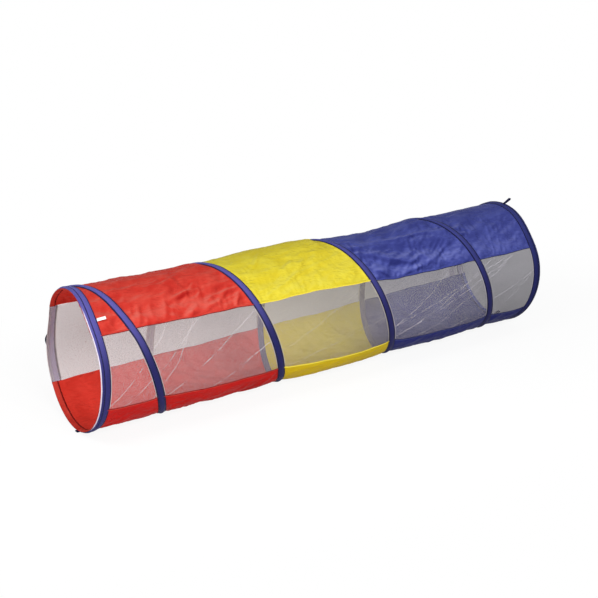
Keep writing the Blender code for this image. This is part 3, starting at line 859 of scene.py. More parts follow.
def start_crumpling(name, grid, seed):
    """A coarse panel with a Cloth modifier, pinned along its four edges."""
    jitter = SIM_JITTER * ripple(grid["arc"] * 61 + grid["along"] * 37, 1.0, seed)
    start = place(CLOTH_RADIUS + grid["stand"] + jitter, grid["angle"], grid["along"])
    piece = sheet_piece(f"{name}_trial", start, np.zeros((*start.shape[:2], 2)), RED)
    rows, columns = start.shape[:2]
    index = np.arange(rows * columns).reshape(rows, columns)
    edge = np.concatenate([index[0], index[-1], index[:, 0], index[:, -1]])
    piece.vertex_groups.new(name="held").add(edge.tolist(), 1.0, "REPLACE")
    cloth = piece.modifiers.new("cloth", "CLOTH")
    cloth.settings.quality = 5
    cloth.settings.mass = 0.1
    cloth.settings.tension_stiffness = cloth.settings.compression_stiffness = 30
    cloth.settings.shear_stiffness = 5
    cloth.settings.bending_stiffness = 0.01
    cloth.settings.vertex_group_mass = "held"
    cloth.settings.shrink_min = -SIM_GROWTH
    cloth.settings.air_damping = 2.0
    cloth.settings.effector_weights.gravity = 0.02
    cloth.collision_settings.use_collision = False
    cloth.point_cache.frame_end = SIM_FRAMES
    return piece, start


def folds_of(piece, start):
    """The folds of a crumpled panel: how far each point moved out, less the broad sag."""
    evaluated = piece.evaluated_get(bpy.context.evaluated_depsgraph_get())
    points = np.zeros(start.size, np.float32)
    evaluated.data.vertices.foreach_get("co", points)
    moved = out_from_axis(points.reshape(start.shape)) - out_from_axis(start)
    folds = moved - blurred(moved, BLUR_PASSES)
    folds *= FOLD_HEIGHT / max(float(folds.std()), 1e-6)
    mesh = piece.data
    bpy.data.objects.remove(piece)
    bpy.data.meshes.remove(mesh)
    return np.clip(folds, -FOLD_LIMIT, FOLD_LIMIT)


def resampled(field, shape):
    """A field stretched over a finer grid, and softened once."""
    rows = np.linspace(0, field.shape[0] - 1, shape[0])
    columns = np.linspace(0, field.shape[1] - 1, shape[1])
    tall = np.stack([np.interp(rows, np.arange(field.shape[0]), column) for column in field.T], 1)
    wide = np.stack([np.interp(columns, np.arange(field.shape[1]), row) for row in tall], 0)
    return blurred(wide, 2)


print("trial panels: a point every", SIM_STEP, "m, and", SIM_FRAMES, "frames")

# %% [markdown]
# A simulation this coarse gives the broad crumple and misses the marks that packing leaves: sharp small
# creases, a few long folds, a pillow where the cloth is pushed up against a tape, and gathers at the
# stitches. They are drawn over it as sums of noise. The noise is seeded, so each run cuts the same cloth.

# %% Creases, folds, pillows and gathers
LATTICE = 128
# Small creases: spacing, height, how they run from the tunnel's direction towards its top, and how drawn out
CREASES = (
    (0.070, 0.0040, 32.0, 2.2), (0.042, 0.0046, 58.0, 2.8), (0.028, 0.0040, 15.0, 2.8),
    (0.020, 0.0030, 74.0, 2.4), (0.014, 0.0019, 40.0, 2.2),
)
# The folds that stand out: share of the length, share of the way round, run, half length and height
LONG_FOLDS = {
    "red_top_panel": (
        (0.62, 0.78, 22.0, 0.07, 0.0050), (0.45, 0.60, 8.0, 0.06, 0.0040), (0.80, 0.90, 30.0, 0.05, 0.0045),
    ),
    "yellow_top_panel": (
        (0.45, 0.86, 18.0, 0.08, 0.0050), (0.62, 0.72, 34.0, 0.06, 0.0045), (0.35, 0.60, 50.0, 0.06, 0.0040),
    ),
    "blue_top_panel": (
        (0.29, 0.80, -19.0, 0.15, 0.0140), (0.20, 0.91, -30.0, 0.06, 0.0070),
        (0.42, 0.62, -8.0, 0.10, 0.0080), (0.12, 0.62, -24.0, 0.07, 0.0080),
        (0.36, 0.93, 12.0, 0.07, 0.0060), (0.50, 0.86, 20.0, 0.06, 0.0060),
    ),
}
# A fold's width on its steep and on its easy side, as shares of its height
FOLD_STEEP, FOLD_EASY = 0.8, 2.4
# Before a tape the top fills out into a pillow: its crest's place along the tunnel, and its height
PILLOWS = {
    "red_top_panel": (0.468, 0.0060), "yellow_top_panel": (0.922, 0.0075), "blue_top_panel": (1.392, 0.0065),
}
PILLOW_DEG, PILLOW_SPREAD_DEG, PILLOW_STEEP, PILLOW_EASY = -14.0, 24.0, 0.013, 0.060
# How far the small creases and the long folds bend, and how large the patches are in which creases show
CREASE_BEND, FOLD_BEND = 0.020, 0.010
BENDS_PER_METRE, PATCHES_PER_METRE = 9, 11
# The gathers at the stitches: height, lean, and how far in from a seam and from a wire they reach
PUCKER_HEIGHT, PUCKER_LEAN, SEAM_REACH, WIRE_REACH = 0.0022, 0.35, 0.032, 0.038
SEAM_GATHERS, WIRE_GATHERS = 85.0, 70.0


def cloud_at(u, v, seed):
    """Smooth noise from -1 to 1: seeded random heights on a square lattice, blended between its corners."""
    heights = np.random.default_rng(seed).uniform(-1, 1, (LATTICE, LATTICE))
    low_u, low_v = np.floor(u).astype(int), np.floor(v).astype(int)
    share_u, share_v = u - low_u, v - low_v
    ease_u, ease_v = share_u**2 * (3 - 2 * share_u), share_v**2 * (3 - 2 * share_v)
    corners = [heights[(low_u + a) % LATTICE, (low_v + b) % LATTICE] for b in (0, 1) for a in (0, 1)]
    near = corners[0] * (1 - ease_u) + corners[1] * ease_u
    far = corners[2] * (1 - ease_u) + corners[3] * ease_u
    return near * (1 - ease_v) + far * ease_v


def long_folds(grid, folds):
    """A few long folds: steep on one side and easy on the other, dying out at their ends."""
    arc, along = grid["arc"], grid["along"]
    heights = np.zeros_like(arc)
    for along_share, arc_share, run_deg, half_length, height in folds:
        run = math.radians(run_deg)
        from_along = along - (along.min() + np.ptp(along) * along_share)
        from_arc = arc - (arc.min() + np.ptp(arc) * arc_share)
        down_run = from_along * math.cos(run) - from_arc * math.sin(run)
        over_run = from_along * math.sin(run) + from_arc * math.cos(run)
        over_run = over_run + FOLD_BEND * cloud_at(down_run * 18 + 7, over_run * 0, int(1000 * arc_share))
        width = height * np.where(over_run > 0, FOLD_STEEP, FOLD_EASY)
        heights += height * np.exp(-((over_run / width) ** 2) - (down_run / half_length) ** 2)
    return heights


def pillow(grid, crest, height):
    """A broad swelling of the top, steep on its far side."""
    beyond = grid["along"] - crest
    width = np.where(beyond > 0, PILLOW_STEEP, PILLOW_EASY)
    return height * bump(signed_deg(grid["angle"]), PILLOW_DEG, PILLOW_SPREAD_DEG) * bump(beyond, 0, width)


def fine_creases(grid, seed):
    """Sharp small creases, as packing leaves them: ridges drawn out along a few directions, in patches."""
    arc, along = grid["arc"], grid["along"]
    heights = np.zeros_like(arc)
    for k, (spacing, height, run_deg, stretch) in enumerate(CREASES):
        run = math.radians(run_deg)
        bend = CREASE_BEND * cloud_at(arc * BENDS_PER_METRE, along * BENDS_PER_METRE, 100 + 10 * seed + k)
        down_run = along * math.cos(run) - arc * math.sin(run)
        over_run = along * math.sin(run) + arc * math.cos(run) + bend
        value = cloud_at(over_run / spacing, down_run / (spacing * stretch), 200 + 10 * seed + k)
        patch = cloud_at(arc * PATCHES_PER_METRE, along * PATCHES_PER_METRE, 300 + 10 * seed + k)
        shown = np.clip(0.65 + 1.1 * patch, 0.15, 1)
        heights += height * shown * (0.45 - 1.6 * np.abs(value))
    return heights


def seam_puckers(grid, seed):
    """Short gathers that run in from the stitches, square to them."""
    lean = PUCKER_LEAN * grid["to_seam"]
    along_seam = ripple(grid["along"] + lean, SEAM_GATHERS, seed) * np.exp(-grid["to_seam"] / SEAM_REACH)
    along_wire = ripple(grid["arc"], WIRE_GATHERS, seed + 3) * np.exp(-grid["to_wire"] / WIRE_REACH)
    return PUCKER_HEIGHT * (along_seam + along_wire)


print("creases of", len(CREASES), "sizes, and", sum(map(len, LONG_FOLDS.values())), "long folds")

# %% Crumpling the trial panels
PANELS = {
    "red_top_panel": ("red", "back_top", "front_top", RED),
    "red_bottom_panel": ("red", "front_bottom", "back_bottom", PAINTED_SHADE_BOTTOMS["red"]),
    "yellow_top_panel": ("yellow", "back_top", "front_top", YELLOW),
    "yellow_bottom_panel": ("yellow", "front_bottom", "back_bottom", PAINTED_SHADE_BOTTOMS["yellow"]),
    "blue_top_panel": ("blue", "back_top", "front_top", BLUE),
    "blue_bottom_panel": ("blue", "front_bottom", "back_bottom", PAINTED_SHADE_BOTTOMS["blue"]),
}
trials = {}
for seed, (node, (length_name, first, last, _)) in enumerate(PANELS.items()):
    coarse = panel_grid(length_name, first, last, SIM_STEP)
    trials[node] = start_crumpling(node, coarse, seed)
for frame_number in range(1, SIM_FRAMES + 1):
    bpy.context.scene.frame_set(frame_number)
print("trial panels:", len(trials))

# %% Cutting the six taffeta panels
TAFFETA_THICKNESS = 0.0004
# How much of the full crumple each panel shows: the red and blue tops most, and what lies on the floor least
CRUMPLE_SHARES = {
    "red_top_panel": 1.35, "red_bottom_panel": 0.6, "yellow_top_panel": 0.8, "yellow_bottom_panel": 0.35,
    "blue_top_panel": 1.3, "blue_bottom_panel": 0.45,
}
# Along the very top the cloth is pulled tighter and lies smoother
CALM_SHARE, CALM_DEG, CALM_SPREAD_DEG = 0.75, -12.0, 28.0
# The care label presses the cloth flat: where it is, and how far round and along
LABEL_DEG, LABEL_MIDDLE, PRESSED_DEG, PRESSED = 39.8, 0.048, 5.0, 0.024
# Beyond the coil's last turn the blue cloth is drawn tight: how much, from where, and over what length
TIGHT_SHARE, TIGHT_FROM, TIGHT_OVER = 0.5, 1.50, 0.10
cloth_pieces = {}
cloth_grids = {}
for seed, (node, (length_name, first, last, material)) in enumerate(PANELS.items()):
    grid = panel_grid(length_name, first, last, STEP)
    relief = fine_creases(grid, seed) + seam_puckers(grid, seed)
    if node in trials:
        relief = relief + resampled(folds_of(*trials[node]), relief.shape)
    from_top = signed_deg(grid["angle"])
    calm = 1 - CALM_SHARE * bump(from_top, CALM_DEG, CALM_SPREAD_DEG)
    if node == "red_top_panel":
        pressed = bump(from_top, LABEL_DEG, PRESSED_DEG) * bump(grid["along"], LABEL_MIDDLE, PRESSED)
        calm = calm * (1 - pressed)
    if node == "blue_top_panel":
        calm = calm * (1 - TIGHT_SHARE * np.clip((grid["along"] - TIGHT_FROM) / TIGHT_OVER, 0, 1))
    relief = relief * CRUMPLE_SHARES[node] * calm + long_folds(grid, LONG_FOLDS.get(node, ()))
    if node in PILLOWS:
        relief = relief + pillow(grid, *PILLOWS[node])
    radius, points, uv = laid_out(grid, relief)
    # The slope, which the top panels' taffeta paints as highlight and shade
    slope = np.gradient(radius, axis=1) / np.gradient(grid["arc"], axis=1)
    cloth_pieces[node] = sheet_piece(
        f"{node}_cloth", points, uv, material, TAFFETA_THICKNESS, PAINTED_INSIDE[length_name], slope
    )
    cloth_grids[node] = grid
    print(node, "grid", points.shape[:2])

# %% [markdown]
# The net is stiffer than the taffeta and hardly crumples. What shows on it is the packing: long straight
# folds, corner to corner, where the tunnel was twisted flat. Each fold is a soft ridge in the sheet and a
# closer line in the knit. The thread is painted greyer towards the blue mouth, as painted shade, and the
# back nets are painted lighter, as painted light.

# %% Cutting the six nets
RIDGE_WIDTH = 0.006
RIDGE_HEIGHT = 0.0022
WAVE_HEIGHT = 0.0016
# The nets' thread colours: painted greyer towards the blue mouth as painted shade, tinted towards each
# length's cloth as painted reflected light, and lighter on the back nets as painted light
NEAR_THREAD_PAINTED, MIDDLE_THREAD_PAINTED, FAR_THREAD_PAINTED = (0.49, 0.44, 0.45), (0.55, 0.51, 0.44), (0.47, 0.45, 0.50)
NETS = {
    "near_front_net": ("red", "front_top", "front_bottom", NEAR_THREAD_PAINTED),
    "near_back_net": ("red", "back_bottom", "back_top", (0.82, 0.74, 0.74)),
    "middle_front_net": ("yellow", "front_top", "front_bottom", MIDDLE_THREAD_PAINTED),
    "middle_back_net": ("yellow", "back_bottom", "back_top", (0.74, 0.67, 0.58)),
    "far_front_net": ("blue", "front_top", "front_bottom", FAR_THREAD_PAINTED),
    "far_back_net": ("blue", "back_bottom", "back_top", (0.52, 0.50, 0.54)),
}
# Places along the net as shares of its length, places across as shares of its width, and directions
CREASE_SHARES = {
    "near": (
        (0.16, 0.62, 137.0), (0.30, 0.85, 146.0), (0.42, 0.30, 131.0), (0.55, 0.60, 124.0),
        (0.80, 0.70, 118.0),
    ),
    "middle": ((0.25, 0.55, 112.0), (0.50, 0.75, 104.0)),
    "far": (
        (0.16, 0.80, 114.0), (0.20, 0.60, 106.0), (0.24, 0.45, 120.0), (0.36, 0.78, 116.0),
        (0.45, 0.50, 109.0), (0.55, 0.85, 112.0), (0.86, 0.60, 128.0),
    ),
}
CREASE_WIDTH = 0.0021
# How much the knit's grain and its creases show. The creases show mostly on the front nets
KNIT_SHARES = {"near": (1.1, 0.62), "middle": (0.8, 0.35), "far": (1.8, 0.50)}
BACK_CREASE_SHARE = 0.08
nets = {}
for seed, (node, (length_name, first, last, thread_colour)) in enumerate(NETS.items(), 11):
    grid = panel_grid(length_name, first, last, STEP)
    place_name, side, _ = node.split("_")
    low_arc, high_arc = float(grid["arc"].min()), float(grid["arc"].max())
    low_along, high_along = float(grid["along"].min()), float(grid["along"].max())
    creases = []
    for along, across, run in CREASE_SHARES[place_name]:
        if side == "back":
            across, run = 1 - across, 180 - run
        at_across = low_arc + (high_arc - low_arc) * across
        creases.append((at_across, low_along + (high_along - low_along) * along, run, CREASE_WIDTH))
    ridges = np.zeros_like(grid["arc"])
    for at_across, at_along, run, _ in creases:
        turn = math.radians(run)
        off = -(grid["arc"] - at_across) * math.sin(turn) + (grid["along"] - at_along) * math.cos(turn)
        ridges += RIDGE_HEIGHT * np.exp(-np.abs(off) / RIDGE_WIDTH)
    waves = WAVE_HEIGHT * ripple(grid["arc"] + 0.7 * grid["along"], 14.0, seed)
    _, points, uv = laid_out(grid, ridges + waves)
    grain_share, crease_share = KNIT_SHARES[place_name]
    if side == "back":
        crease_share = BACK_CREASE_SHARE
    material = net(f"{node}_knit", thread_colour, creases, grain_share, crease_share)
    nets[node] = sheet_piece(f"{node}_mesh", points, uv, material)
    cloth_grids[node] = grid
print("nets:", len(nets))

# %% [markdown]
# At a long seam the taffeta's edge is folded under and stands a little proud, with a row of stitches in it
# and the net's edge hidden below it. Beside the tapes the net's edge is doubled, so that it shows as a thin
# whiter line. Both follow their seam's own line, with its waver and the cloth's sag.

# %% The line of a seam
LENGTHS = {
    "red": ("near", RED_FOLD, RED_THREAD, NEAR_THREAD_PAINTED),
    "yellow": ("middle", YELLOW_FOLD, YELLOW_THREAD, MIDDLE_THREAD_PAINTED),
    "blue": ("far", BLUE_FOLD, BLUE_THREAD, FAR_THREAD_PAINTED),
}
# For each seam, the way round the tunnel in which its taffeta lies
TAFFETA_SIDE = {"front_top": -1, "front_bottom": 1, "back_bottom": -1, "back_top": 1}
# A fold's section is part of an arch: where it starts, how much of the arch it takes, and its least height
ARCH_FROM, ARCH_SHARE, ARCH_LEAST = 0.12, 0.94, 0.25


def seam_line(length_name, seam, step):
    """Angle, place along and slack at even steps down one seam of one length, on its taffeta's side."""
    seam_deg = SEAMS_DEG[seam] - 360 * (seam == "back_top")
    count = int(LENGTH / 3 / step)
    along = np.full(count, LENGTH / 2)
    share = np.linspace(0, 1, count)
    for _ in range(TWIST_PASSES):
        angle = seam_angle(seam_deg, along)
        held = stops(length_name, angle)
        along = held[0] + (held[-1] - held[0]) * share
    stand = np.zeros(count)
    for bay, (low, high) in enumerate(zip(held, held[1:])):
        inside = (along >= low) & (along <= high)
        stand = np.where(inside, slack(length_name, bay, low, high, along, angle), stand)
    return angle, along, stand


def strip(angle, along, base, start_arc, end_arc, height, across_steps, lift):
    """A closed strip beside a seam, from one distance round to another, lifted off the cloth."""
    across = np.linspace(start_arc, end_arc, across_steps)
    arch = np.sin(np.linspace(ARCH_FROM, 1, across_steps) * math.pi * ARCH_SHARE)
    crown = height * np.clip(arch, ARCH_LEAST, 1)
    turn = np.degrees(across / CLOTH_RADIUS)
    foot = (base + lift)[:, None]
    top = on_floor(place(foot + crown, angle[:, None] + turn, along[:, None]), FLOOR_GAP + height)
    under = on_floor(place(foot + 0 * crown, angle[:, None] + turn, along[:, None]))
    return outline_of(top, under), cloth_map(there_and_back(across), along[:, None])


print("lengths:", ", ".join(LENGTHS))

# %% [markdown]
# A stitch is a short bead of thread that dips into the cloth at both ends. Thousands of objects would be
# slow, so each row of stitches is one mesh made with arrays, and rows of one thread are joined.

# %% Rows of stitches
STITCH_LENGTH = 0.0032
STITCH_PITCH = 0.0045
STITCH_RADIUS = 0.00045
# Along a stitch: how far, and how thick
STITCH_PROFILE = ((0.0, 0.15), (0.25, 0.85), (0.75, 0.85), (1.0, 0.15))


def joined(name, parts):
    """Several pieces of one material as one piece."""
    with bpy.context.temp_override(active_object=parts[0], selected_editable_objects=parts):
        bpy.ops.object.join()
    parts[0].name = parts[0].data.name = name
    return parts[0]


def stitch_row(name, points, outwards, material):
    """A row of short stitches along a line of points, each a small four-sided bead that dips at its ends."""
    distance = distance_along(points)
    starts = np.arange(STITCH_PITCH / 2, distance[-1] - STITCH_LENGTH, STITCH_PITCH)

    def at(values, where):
        return np.stack([np.interp(where, distance, values[:, k]) for k in range(3)], -1)

    rings = []
    for share, swell in STITCH_PROFILE:
        centre = at(points, starts + share * STITCH_LENGTH)
        up = at(outwards, starts + share * STITCH_LENGTH)
        ahead = at(points, starts + STITCH_LENGTH) - at(points, starts)
        side = unit(np.cross(up, ahead))
        rise = swell * STITCH_RADIUS
        for dx, dy in ((1, 0), (0, 1), (-1, 0), (0, -1)):
            rings.append(centre + up * (rise * 0.6 + rise * dy) + side * (rise * dx))
    points_out = np.stack(rings, 1).reshape(-1, 3)
    each = []
    for ring in range(len(STITCH_PROFILE) - 1):
        for k in range(4):
            a, b = ring * 4 + k, ring * 4 + (k + 1) % 4
            each.append((a, b, b + 4, a + 4))
    last = 4 * (len(STITCH_PROFILE) - 1)
    each += [(3, 2, 1, 0), (last, last + 1, last + 2, last + 3)]
    faces = (np.array(each)[None] + (np.arange(len(starts)) * len(rings))[:, None, None]).reshape(-1, 4)
    return make_piece(name, points_out, faces, np.zeros((faces.size, 2)), material)


print(f"stitches {STITCH_LENGTH * 1000:.1f} mm long, one every {STITCH_PITCH * 1000:.1f} mm")

# %% Hems of the nets beside the tapes
WIRE_HEM_START, WIRE_HEM_END = 0.0124, 0.0160
MOUTH_HEM_END = 0.0032
RIM_HEM_WIDTH = 0.0022
HEM_STEP_DEG = 1.2
HEM_FOOT, WIRE_HEM_TOP, RIM_HEM_TOP = 0.0001, 0.0008, 0.0010
HEM_RUFFLE = 0.0003
RIM_HEM_START = 0.0003


def between_seams(angle, first_deg, last_deg, along):
    """Whether each place lies between two seams, clear of both."""
    margin = HEM_STEP_DEG / 2
    return (angle > seam_angle(first_deg, along) + margin) & (angle < seam_angle(last_deg, along) - margin)


def wire_hems(length_name, first_deg, last_deg):
    """Narrow closed strips where a net's doubled edge shows beside the tapes, at both ends of each bay."""
    angle = np.arange(first_deg - SEAM_TWIST_DEG, last_deg + SEAM_TWIST_DEG, HEM_STEP_DEG)
    held = stops(length_name, angle)
    strips = []
    for bay, (low, high) in enumerate(zip(held, held[1:])):
        for edge, inwards in ((low, 1), (high, -1)):
            at_mouth = np.ptp(edge) == 0
            start, end = (0.0, MOUTH_HEM_END) if at_mouth else (WIRE_HEM_START, WIRE_HEM_END)
            along = edge[:, None] + inwards * np.linspace(start, end, 3)[None, :]
            clear = (along[:, 0] > RIM_DEPTH) & (along[:, 0] < LENGTH - RIM_DEPTH) | at_mouth
            clear &= between_seams(angle, first_deg, last_deg, along[:, 0])
            if clear.sum() < 3:
                continue
            shown, turn = along[clear], angle[clear][:, None]
            near_wire, far_wire = low[clear][:, None], high[clear][:, None]
            stand = CLOTH_RADIUS + slack(length_name, bay, near_wire, far_wire, shown, turn)
            arc = np.radians(turn) * CLOTH_RADIUS
            ruffle = HEM_RUFFLE * ripple(arc, 150.0, 40.0 + bay)
            top = place(stand + WIRE_HEM_TOP + ruffle, turn, shown)
            under = place(stand + HEM_FOOT + 0 * ruffle, turn, shown)
            strips.append((outline_of(top, under), cloth_map(arc, there_and_back(shown))))
    return strips


def rim_hem(length_name, first_deg, last_deg):
    """The same edge beside a rim's tape, where the coil's tape leaves room for it."""
    rim_edge, inwards, turn = (RIM_DEPTH, 1, 0) if length_name == "red" else (LENGTH - RIM_DEPTH, -1, 3)
    angle = np.arange(first_deg - SEAM_TWIST_DEG, last_deg + SEAM_TWIST_DEG, HEM_STEP_DEG)
    clear = inwards * (coil_along(angle, turn) - rim_edge) > COIL_TAPE_WIDTH / 2 + RIM_HEM_WIDTH
    clear &= between_seams(angle, first_deg, last_deg, rim_edge)
    angle = angle[clear][:, None]
    along = rim_edge + inwards * np.linspace(RIM_HEM_START, RIM_HEM_WIDTH, 3)[None, :]
    top = place(CLOTH_RADIUS + RIM_HEM_TOP, angle, along)
    under = place(CLOTH_RADIUS + HEM_FOOT, angle, along)
    return outline_of(top, under), cloth_map(np.radians(angle) * CLOTH_RADIUS, there_and_back(along))


print("doubled net edges show", round((WIRE_HEM_END - COIL_TAPE_WIDTH / 2) * 1000, 1), "mm beside a tape")

# %% Sewing the long seams
SEAM_FOLD_WIDTH = 0.0070
SEAM_FOLD_HEIGHT = 0.0013
SEAM_STEP = 0.005
HEM_LIFT = 0.0001
STITCHES_IN = 0.0022
SEAM_PUCKER, SEAM_PUCKERS = 0.0004, 160.0
seam_pieces = {}
for length_name, (place_name, cloth, stitches, knit) in LENGTHS.items():
    folds, hems, rows = [], [], []
    for seam, side in TAFFETA_SIDE.items():
        angle, along, stand = seam_line(length_name, seam, SEAM_STEP)
        base = CLOTH_RADIUS + stand
        pucker = SEAM_PUCKER * ripple(along, SEAM_PUCKERS, SEAMS_DEG[seam])
        fold = strip(angle, along, base + pucker, 0.0, side * SEAM_FOLD_WIDTH, SEAM_FOLD_HEIGHT, 6, HEM_LIFT)
        folds.append(swept_piece(f"{length_name}_{seam}_fold", *fold, cloth))
        line_angle = angle + side * math.degrees(STITCHES_IN / CLOTH_RADIUS)
        line = place(base + SEAM_FOLD_HEIGHT, line_angle, along)
        rows.append(stitch_row(f"{length_name}_{seam}_row", on_floor(line), outwards_at(angle), stitches))
    seam_pieces[f"{length_name}_seam_folds"] = joined(f"{length_name}_seam_folds", folds)
    seam_pieces[f"{length_name}_seam_stitches"] = joined(f"{length_name}_seam_stitches", rows)
    for seam, next_seam in (("front_top", "front_bottom"), ("back_bottom", "back_top")):
        hems += wire_hems(length_name, SEAMS_DEG[seam], SEAMS_DEG[next_seam])
        if length_name != "yellow":
            hems.append(rim_hem(length_name, SEAMS_DEG[seam], SEAMS_DEG[next_seam]))
    hem_cloth = plain_weave(f"{place_name}_net_hem_knit", knit, HOLE_PITCH / 2, 0.7)
    parts = [swept_piece(f"{place_name}_hem_{k}", *hem, hem_cloth) for k, hem in enumerate(hems)]
    seam_pieces[f"{place_name}_net_hems"] = joined(f"{place_name}_net_hems", parts)
print("seam pieces:", len(seam_pieces))

# %% [markdown]
# The tape over the coil is one long strip, nearly six metres of it. Its section is drawn once, as heights
# over the cloth: a flat edge, a groove where the stitches pull it down, and a crown over the wire. The
# strip is that section carried round the helix, with edges that waver as a hand-guided seam does.

# %% The tapes' sections
TAPE_THICKNESS = 0.0006
SWEEP_STEP_DEG = 2.0
COIL_PROFILE = (
    (-0.0140, 0.0004), (-0.0125, 0.0008), (-0.0108, 0.0003), (-0.0088, 0.0015), (-0.0056, 0.0031),
    (-0.0024, 0.0039), (0.0, 0.0041), (0.0024, 0.0039), (0.0056, 0.0031), (0.0088, 0.0015),
    (0.0108, 0.0003), (0.0125, 0.0008), (0.0140, 0.0004),
)
GROOVE = 0.0108
# Depth from the mouth and height over the cloth
RIM_PROFILE = (
    (0.0006, 0.0003), (0.0022, 0.0010), (0.0044, 0.0022), (0.0062, 0.0036), (0.0085, 0.0044),
    (0.0102, 0.0038), (0.0115, 0.0020), (0.0130, 0.0032), (0.0160, 0.0038), (0.0200, 0.0036),
    (0.0240, 0.0026), (0.0275, 0.0010), (0.0300, 0.0002), (0.0316, 0.0006), (0.0330, 0.0004),
)
RIM_GROOVES = (0.0115, 0.0300)
# How far the edges stray and flutter, in metres, how much the crown swells, and how often to the metre
TAPE_WAVER, TAPE_FLUTTER, TAPE_SWELL = 0.0006, 0.00035, 0.10
TAPE_WAVERS, TAPE_FLUTTERS, TAPE_SWELLS = 18.0, 130.0, 40.0
# The share of the way to the edge from which it flutters
FLUTTER_FROM = 0.6
# The room over the wire where a tape crosses it, and how steeply the tape falls away beside it
WIRE_ROOM, WIRE_FALL = 0.0004, 45
TAPE_FLOOR_GAP = 0.0002


def tape_sections(profile, angle, centre_along, seed, wire_along=None):
    """Sections of a tape: its outer face, and back along its inner face. It is lifted where the coil's
    wire runs under it, at wire_along."""
    across = np.array([a for a, _ in profile])
    height = np.array([h for _, h in profile])
    arc = np.radians(angle) * TAPE_RADIUS
    waver = TAPE_WAVER * ripple(arc, TAPE_WAVERS, seed)
    swell = 1 + TAPE_SWELL * ripple(arc, TAPE_SWELLS, seed + 1)
    edge = np.abs(across - across.mean()) / np.ptp(across) * 2
    flutter = TAPE_FLUTTER * ripple(arc, TAPE_FLUTTERS, seed + 2)[:, None]
    flutter = flutter * np.clip(edge - FLUTTER_FROM, 0, 1) / (1 - FLUTTER_FROM)
    outer = TAPE_RADIUS + height[None, :] * swell[:, None] + flutter
    along = centre_along[:, None] + across[None, :] + waver[:, None]
    if wire_along is not None:
        over_wire = COIL_RADIUS + WIRE_RADIUS + TAPE_THICKNESS + WIRE_ROOM
        outer = np.maximum(outer, over_wire - WIRE_FALL * (along - wire_along[:, None]) ** 2)
    inner = outer - TAPE_THICKNESS
    top = on_floor(place(outer, angle[:, None], along), TAPE_FLOOR_GAP)
    under = on_floor(place(inner, angle[:, None], along), TAPE_FLOOR_GAP + TAPE_THICKNESS)
    uv = cloth_map(there_and_back(np.abs(across - across[0])), arc[:, None])
    return outline_of(top, under), uv, outer, along


print("tape sections of", len(COIL_PROFILE), "and", len(RIM_PROFILE), "points")


# %% A tape's grooves and its wrong side
def groove_line(profile, outer, angle, along, groove):
    """World points and outward directions along one groove of a tape."""
    column = int(np.argmin([abs(a - groove) for a, _ in profile]))
    points = place(outer[:, column], angle, along[:, column])
    return on_floor(points), outwards_at(angle)


def line_with_wrong_side(piece, columns, wrong_side):
    """Give a tape's inner faces, the second half of each section, the material of its wrong side, which is
    painted light lavender, as painted light through the tape.
    """
    piece.data.materials.append(wrong_side)
    swept = (len(piece.data.vertices) // columns - 1) * columns
    inner = [columns // 2 <= k % columns < columns - 1 for k in range(swept)]
    inner += [False] * (len(piece.data.polygons) - swept)
    piece.data.polygons.foreach_set("material_index", inner)


print("grooves", GROOVE, "m from the middle of the coil's tape")


# %% The coil's tape
def tape_span():
    """The part of the coil that lies between the rims' tapes, in degrees turned."""
    turned = np.arange(0, COIL_TURNED_DEG, SWEEP_STEP_DEG)
    centre = coil_at(turned)
    half = COIL_TAPE_WIDTH / 2
    inside = (centre > RIM_DEPTH - half) & (centre < LENGTH - RIM_DEPTH + half)
    return turned[inside]


turned = tape_span()
coil_angle, coil_centre = turned + COIL_START_DEG, coil_at(turned)
sections, uv, outer, along = tape_sections(COIL_PROFILE, coil_angle, coil_centre, 5.0)
low_x, high_x = MOUTH_X + RIM_DEPTH, FAR_X - RIM_DEPTH
sections[..., 0] = np.clip(sections[..., 0], low_x, high_x)
coil_tape = swept_piece("coil_casing_tape_cloth", sections, uv, COIL_TAPE)
line_with_wrong_side(coil_tape, sections.shape[1], COIL_BACK)
coil_rows = []
for groove in (-GROOVE, GROOVE):
    line, out = groove_line(COIL_PROFILE, outer, coil_angle, along, groove)
    kept = (line[:, 0] > low_x) & (line[:, 0] < high_x)
    coil_rows.append(stitch_row(f"coil_row_{groove}", line[kept], out[kept], NAVY_THREAD))
coil_stitches = joined("coil_tape_stitches", coil_rows)
print("coil tape length", round(float(np.radians(np.ptp(coil_angle)) * TAPE_RADIUS), 2), "m round")

# %% [markdown]
# Where two colours meet, their raw edges are covered on the inside by a dark binding. Elsewhere the cloth
# runs on under the tape and needs none. The binding is a plain strip on the same helix as the tape.

# %% The binding inside the coil's tape
# Half its width, and its distance from the axis
BINDING_HALF, BINDING_RADIUS = 0.0120, CLOTH_RADIUS - 0.0006
BINDING_FLOOR_GAP = 0.0008
binding_across = np.linspace(-BINDING_HALF, BINDING_HALF, 5)
joint_angle = np.arange(SEAMS_DEG["back_top"], SEAMS_DEG["back_top"] + 720, SWEEP_STEP_DEG)[:, None]
binding_along = coil_at(joint_angle - COIL_START_DEG) + binding_across[None, :]
top = place(BINDING_RADIUS, joint_angle, binding_along)
under = place(BINDING_RADIUS - TAPE_THICKNESS, joint_angle, binding_along)
sections = on_floor(outline_of(top, under), BINDING_FLOOR_GAP)
uv = cloth_map(there_and_back(binding_across), np.radians(joint_angle) * TAPE_RADIUS)
coil_binding = swept_piece("coil_tape_inner_binding", sections, uv, COIL_BINDING)
print("binding", round(float(np.radians(np.ptp(joint_angle)) * TAPE_RADIUS), 2), "m round")

# %% [markdown]
# A rim's tape is folded over the mouth's edge and sewn through twice. It is made as the coil's is, with a
# section of its own that starts at the edge, carried once round and joined to itself. Where the coil's wire
# comes in under it, it is lifted.

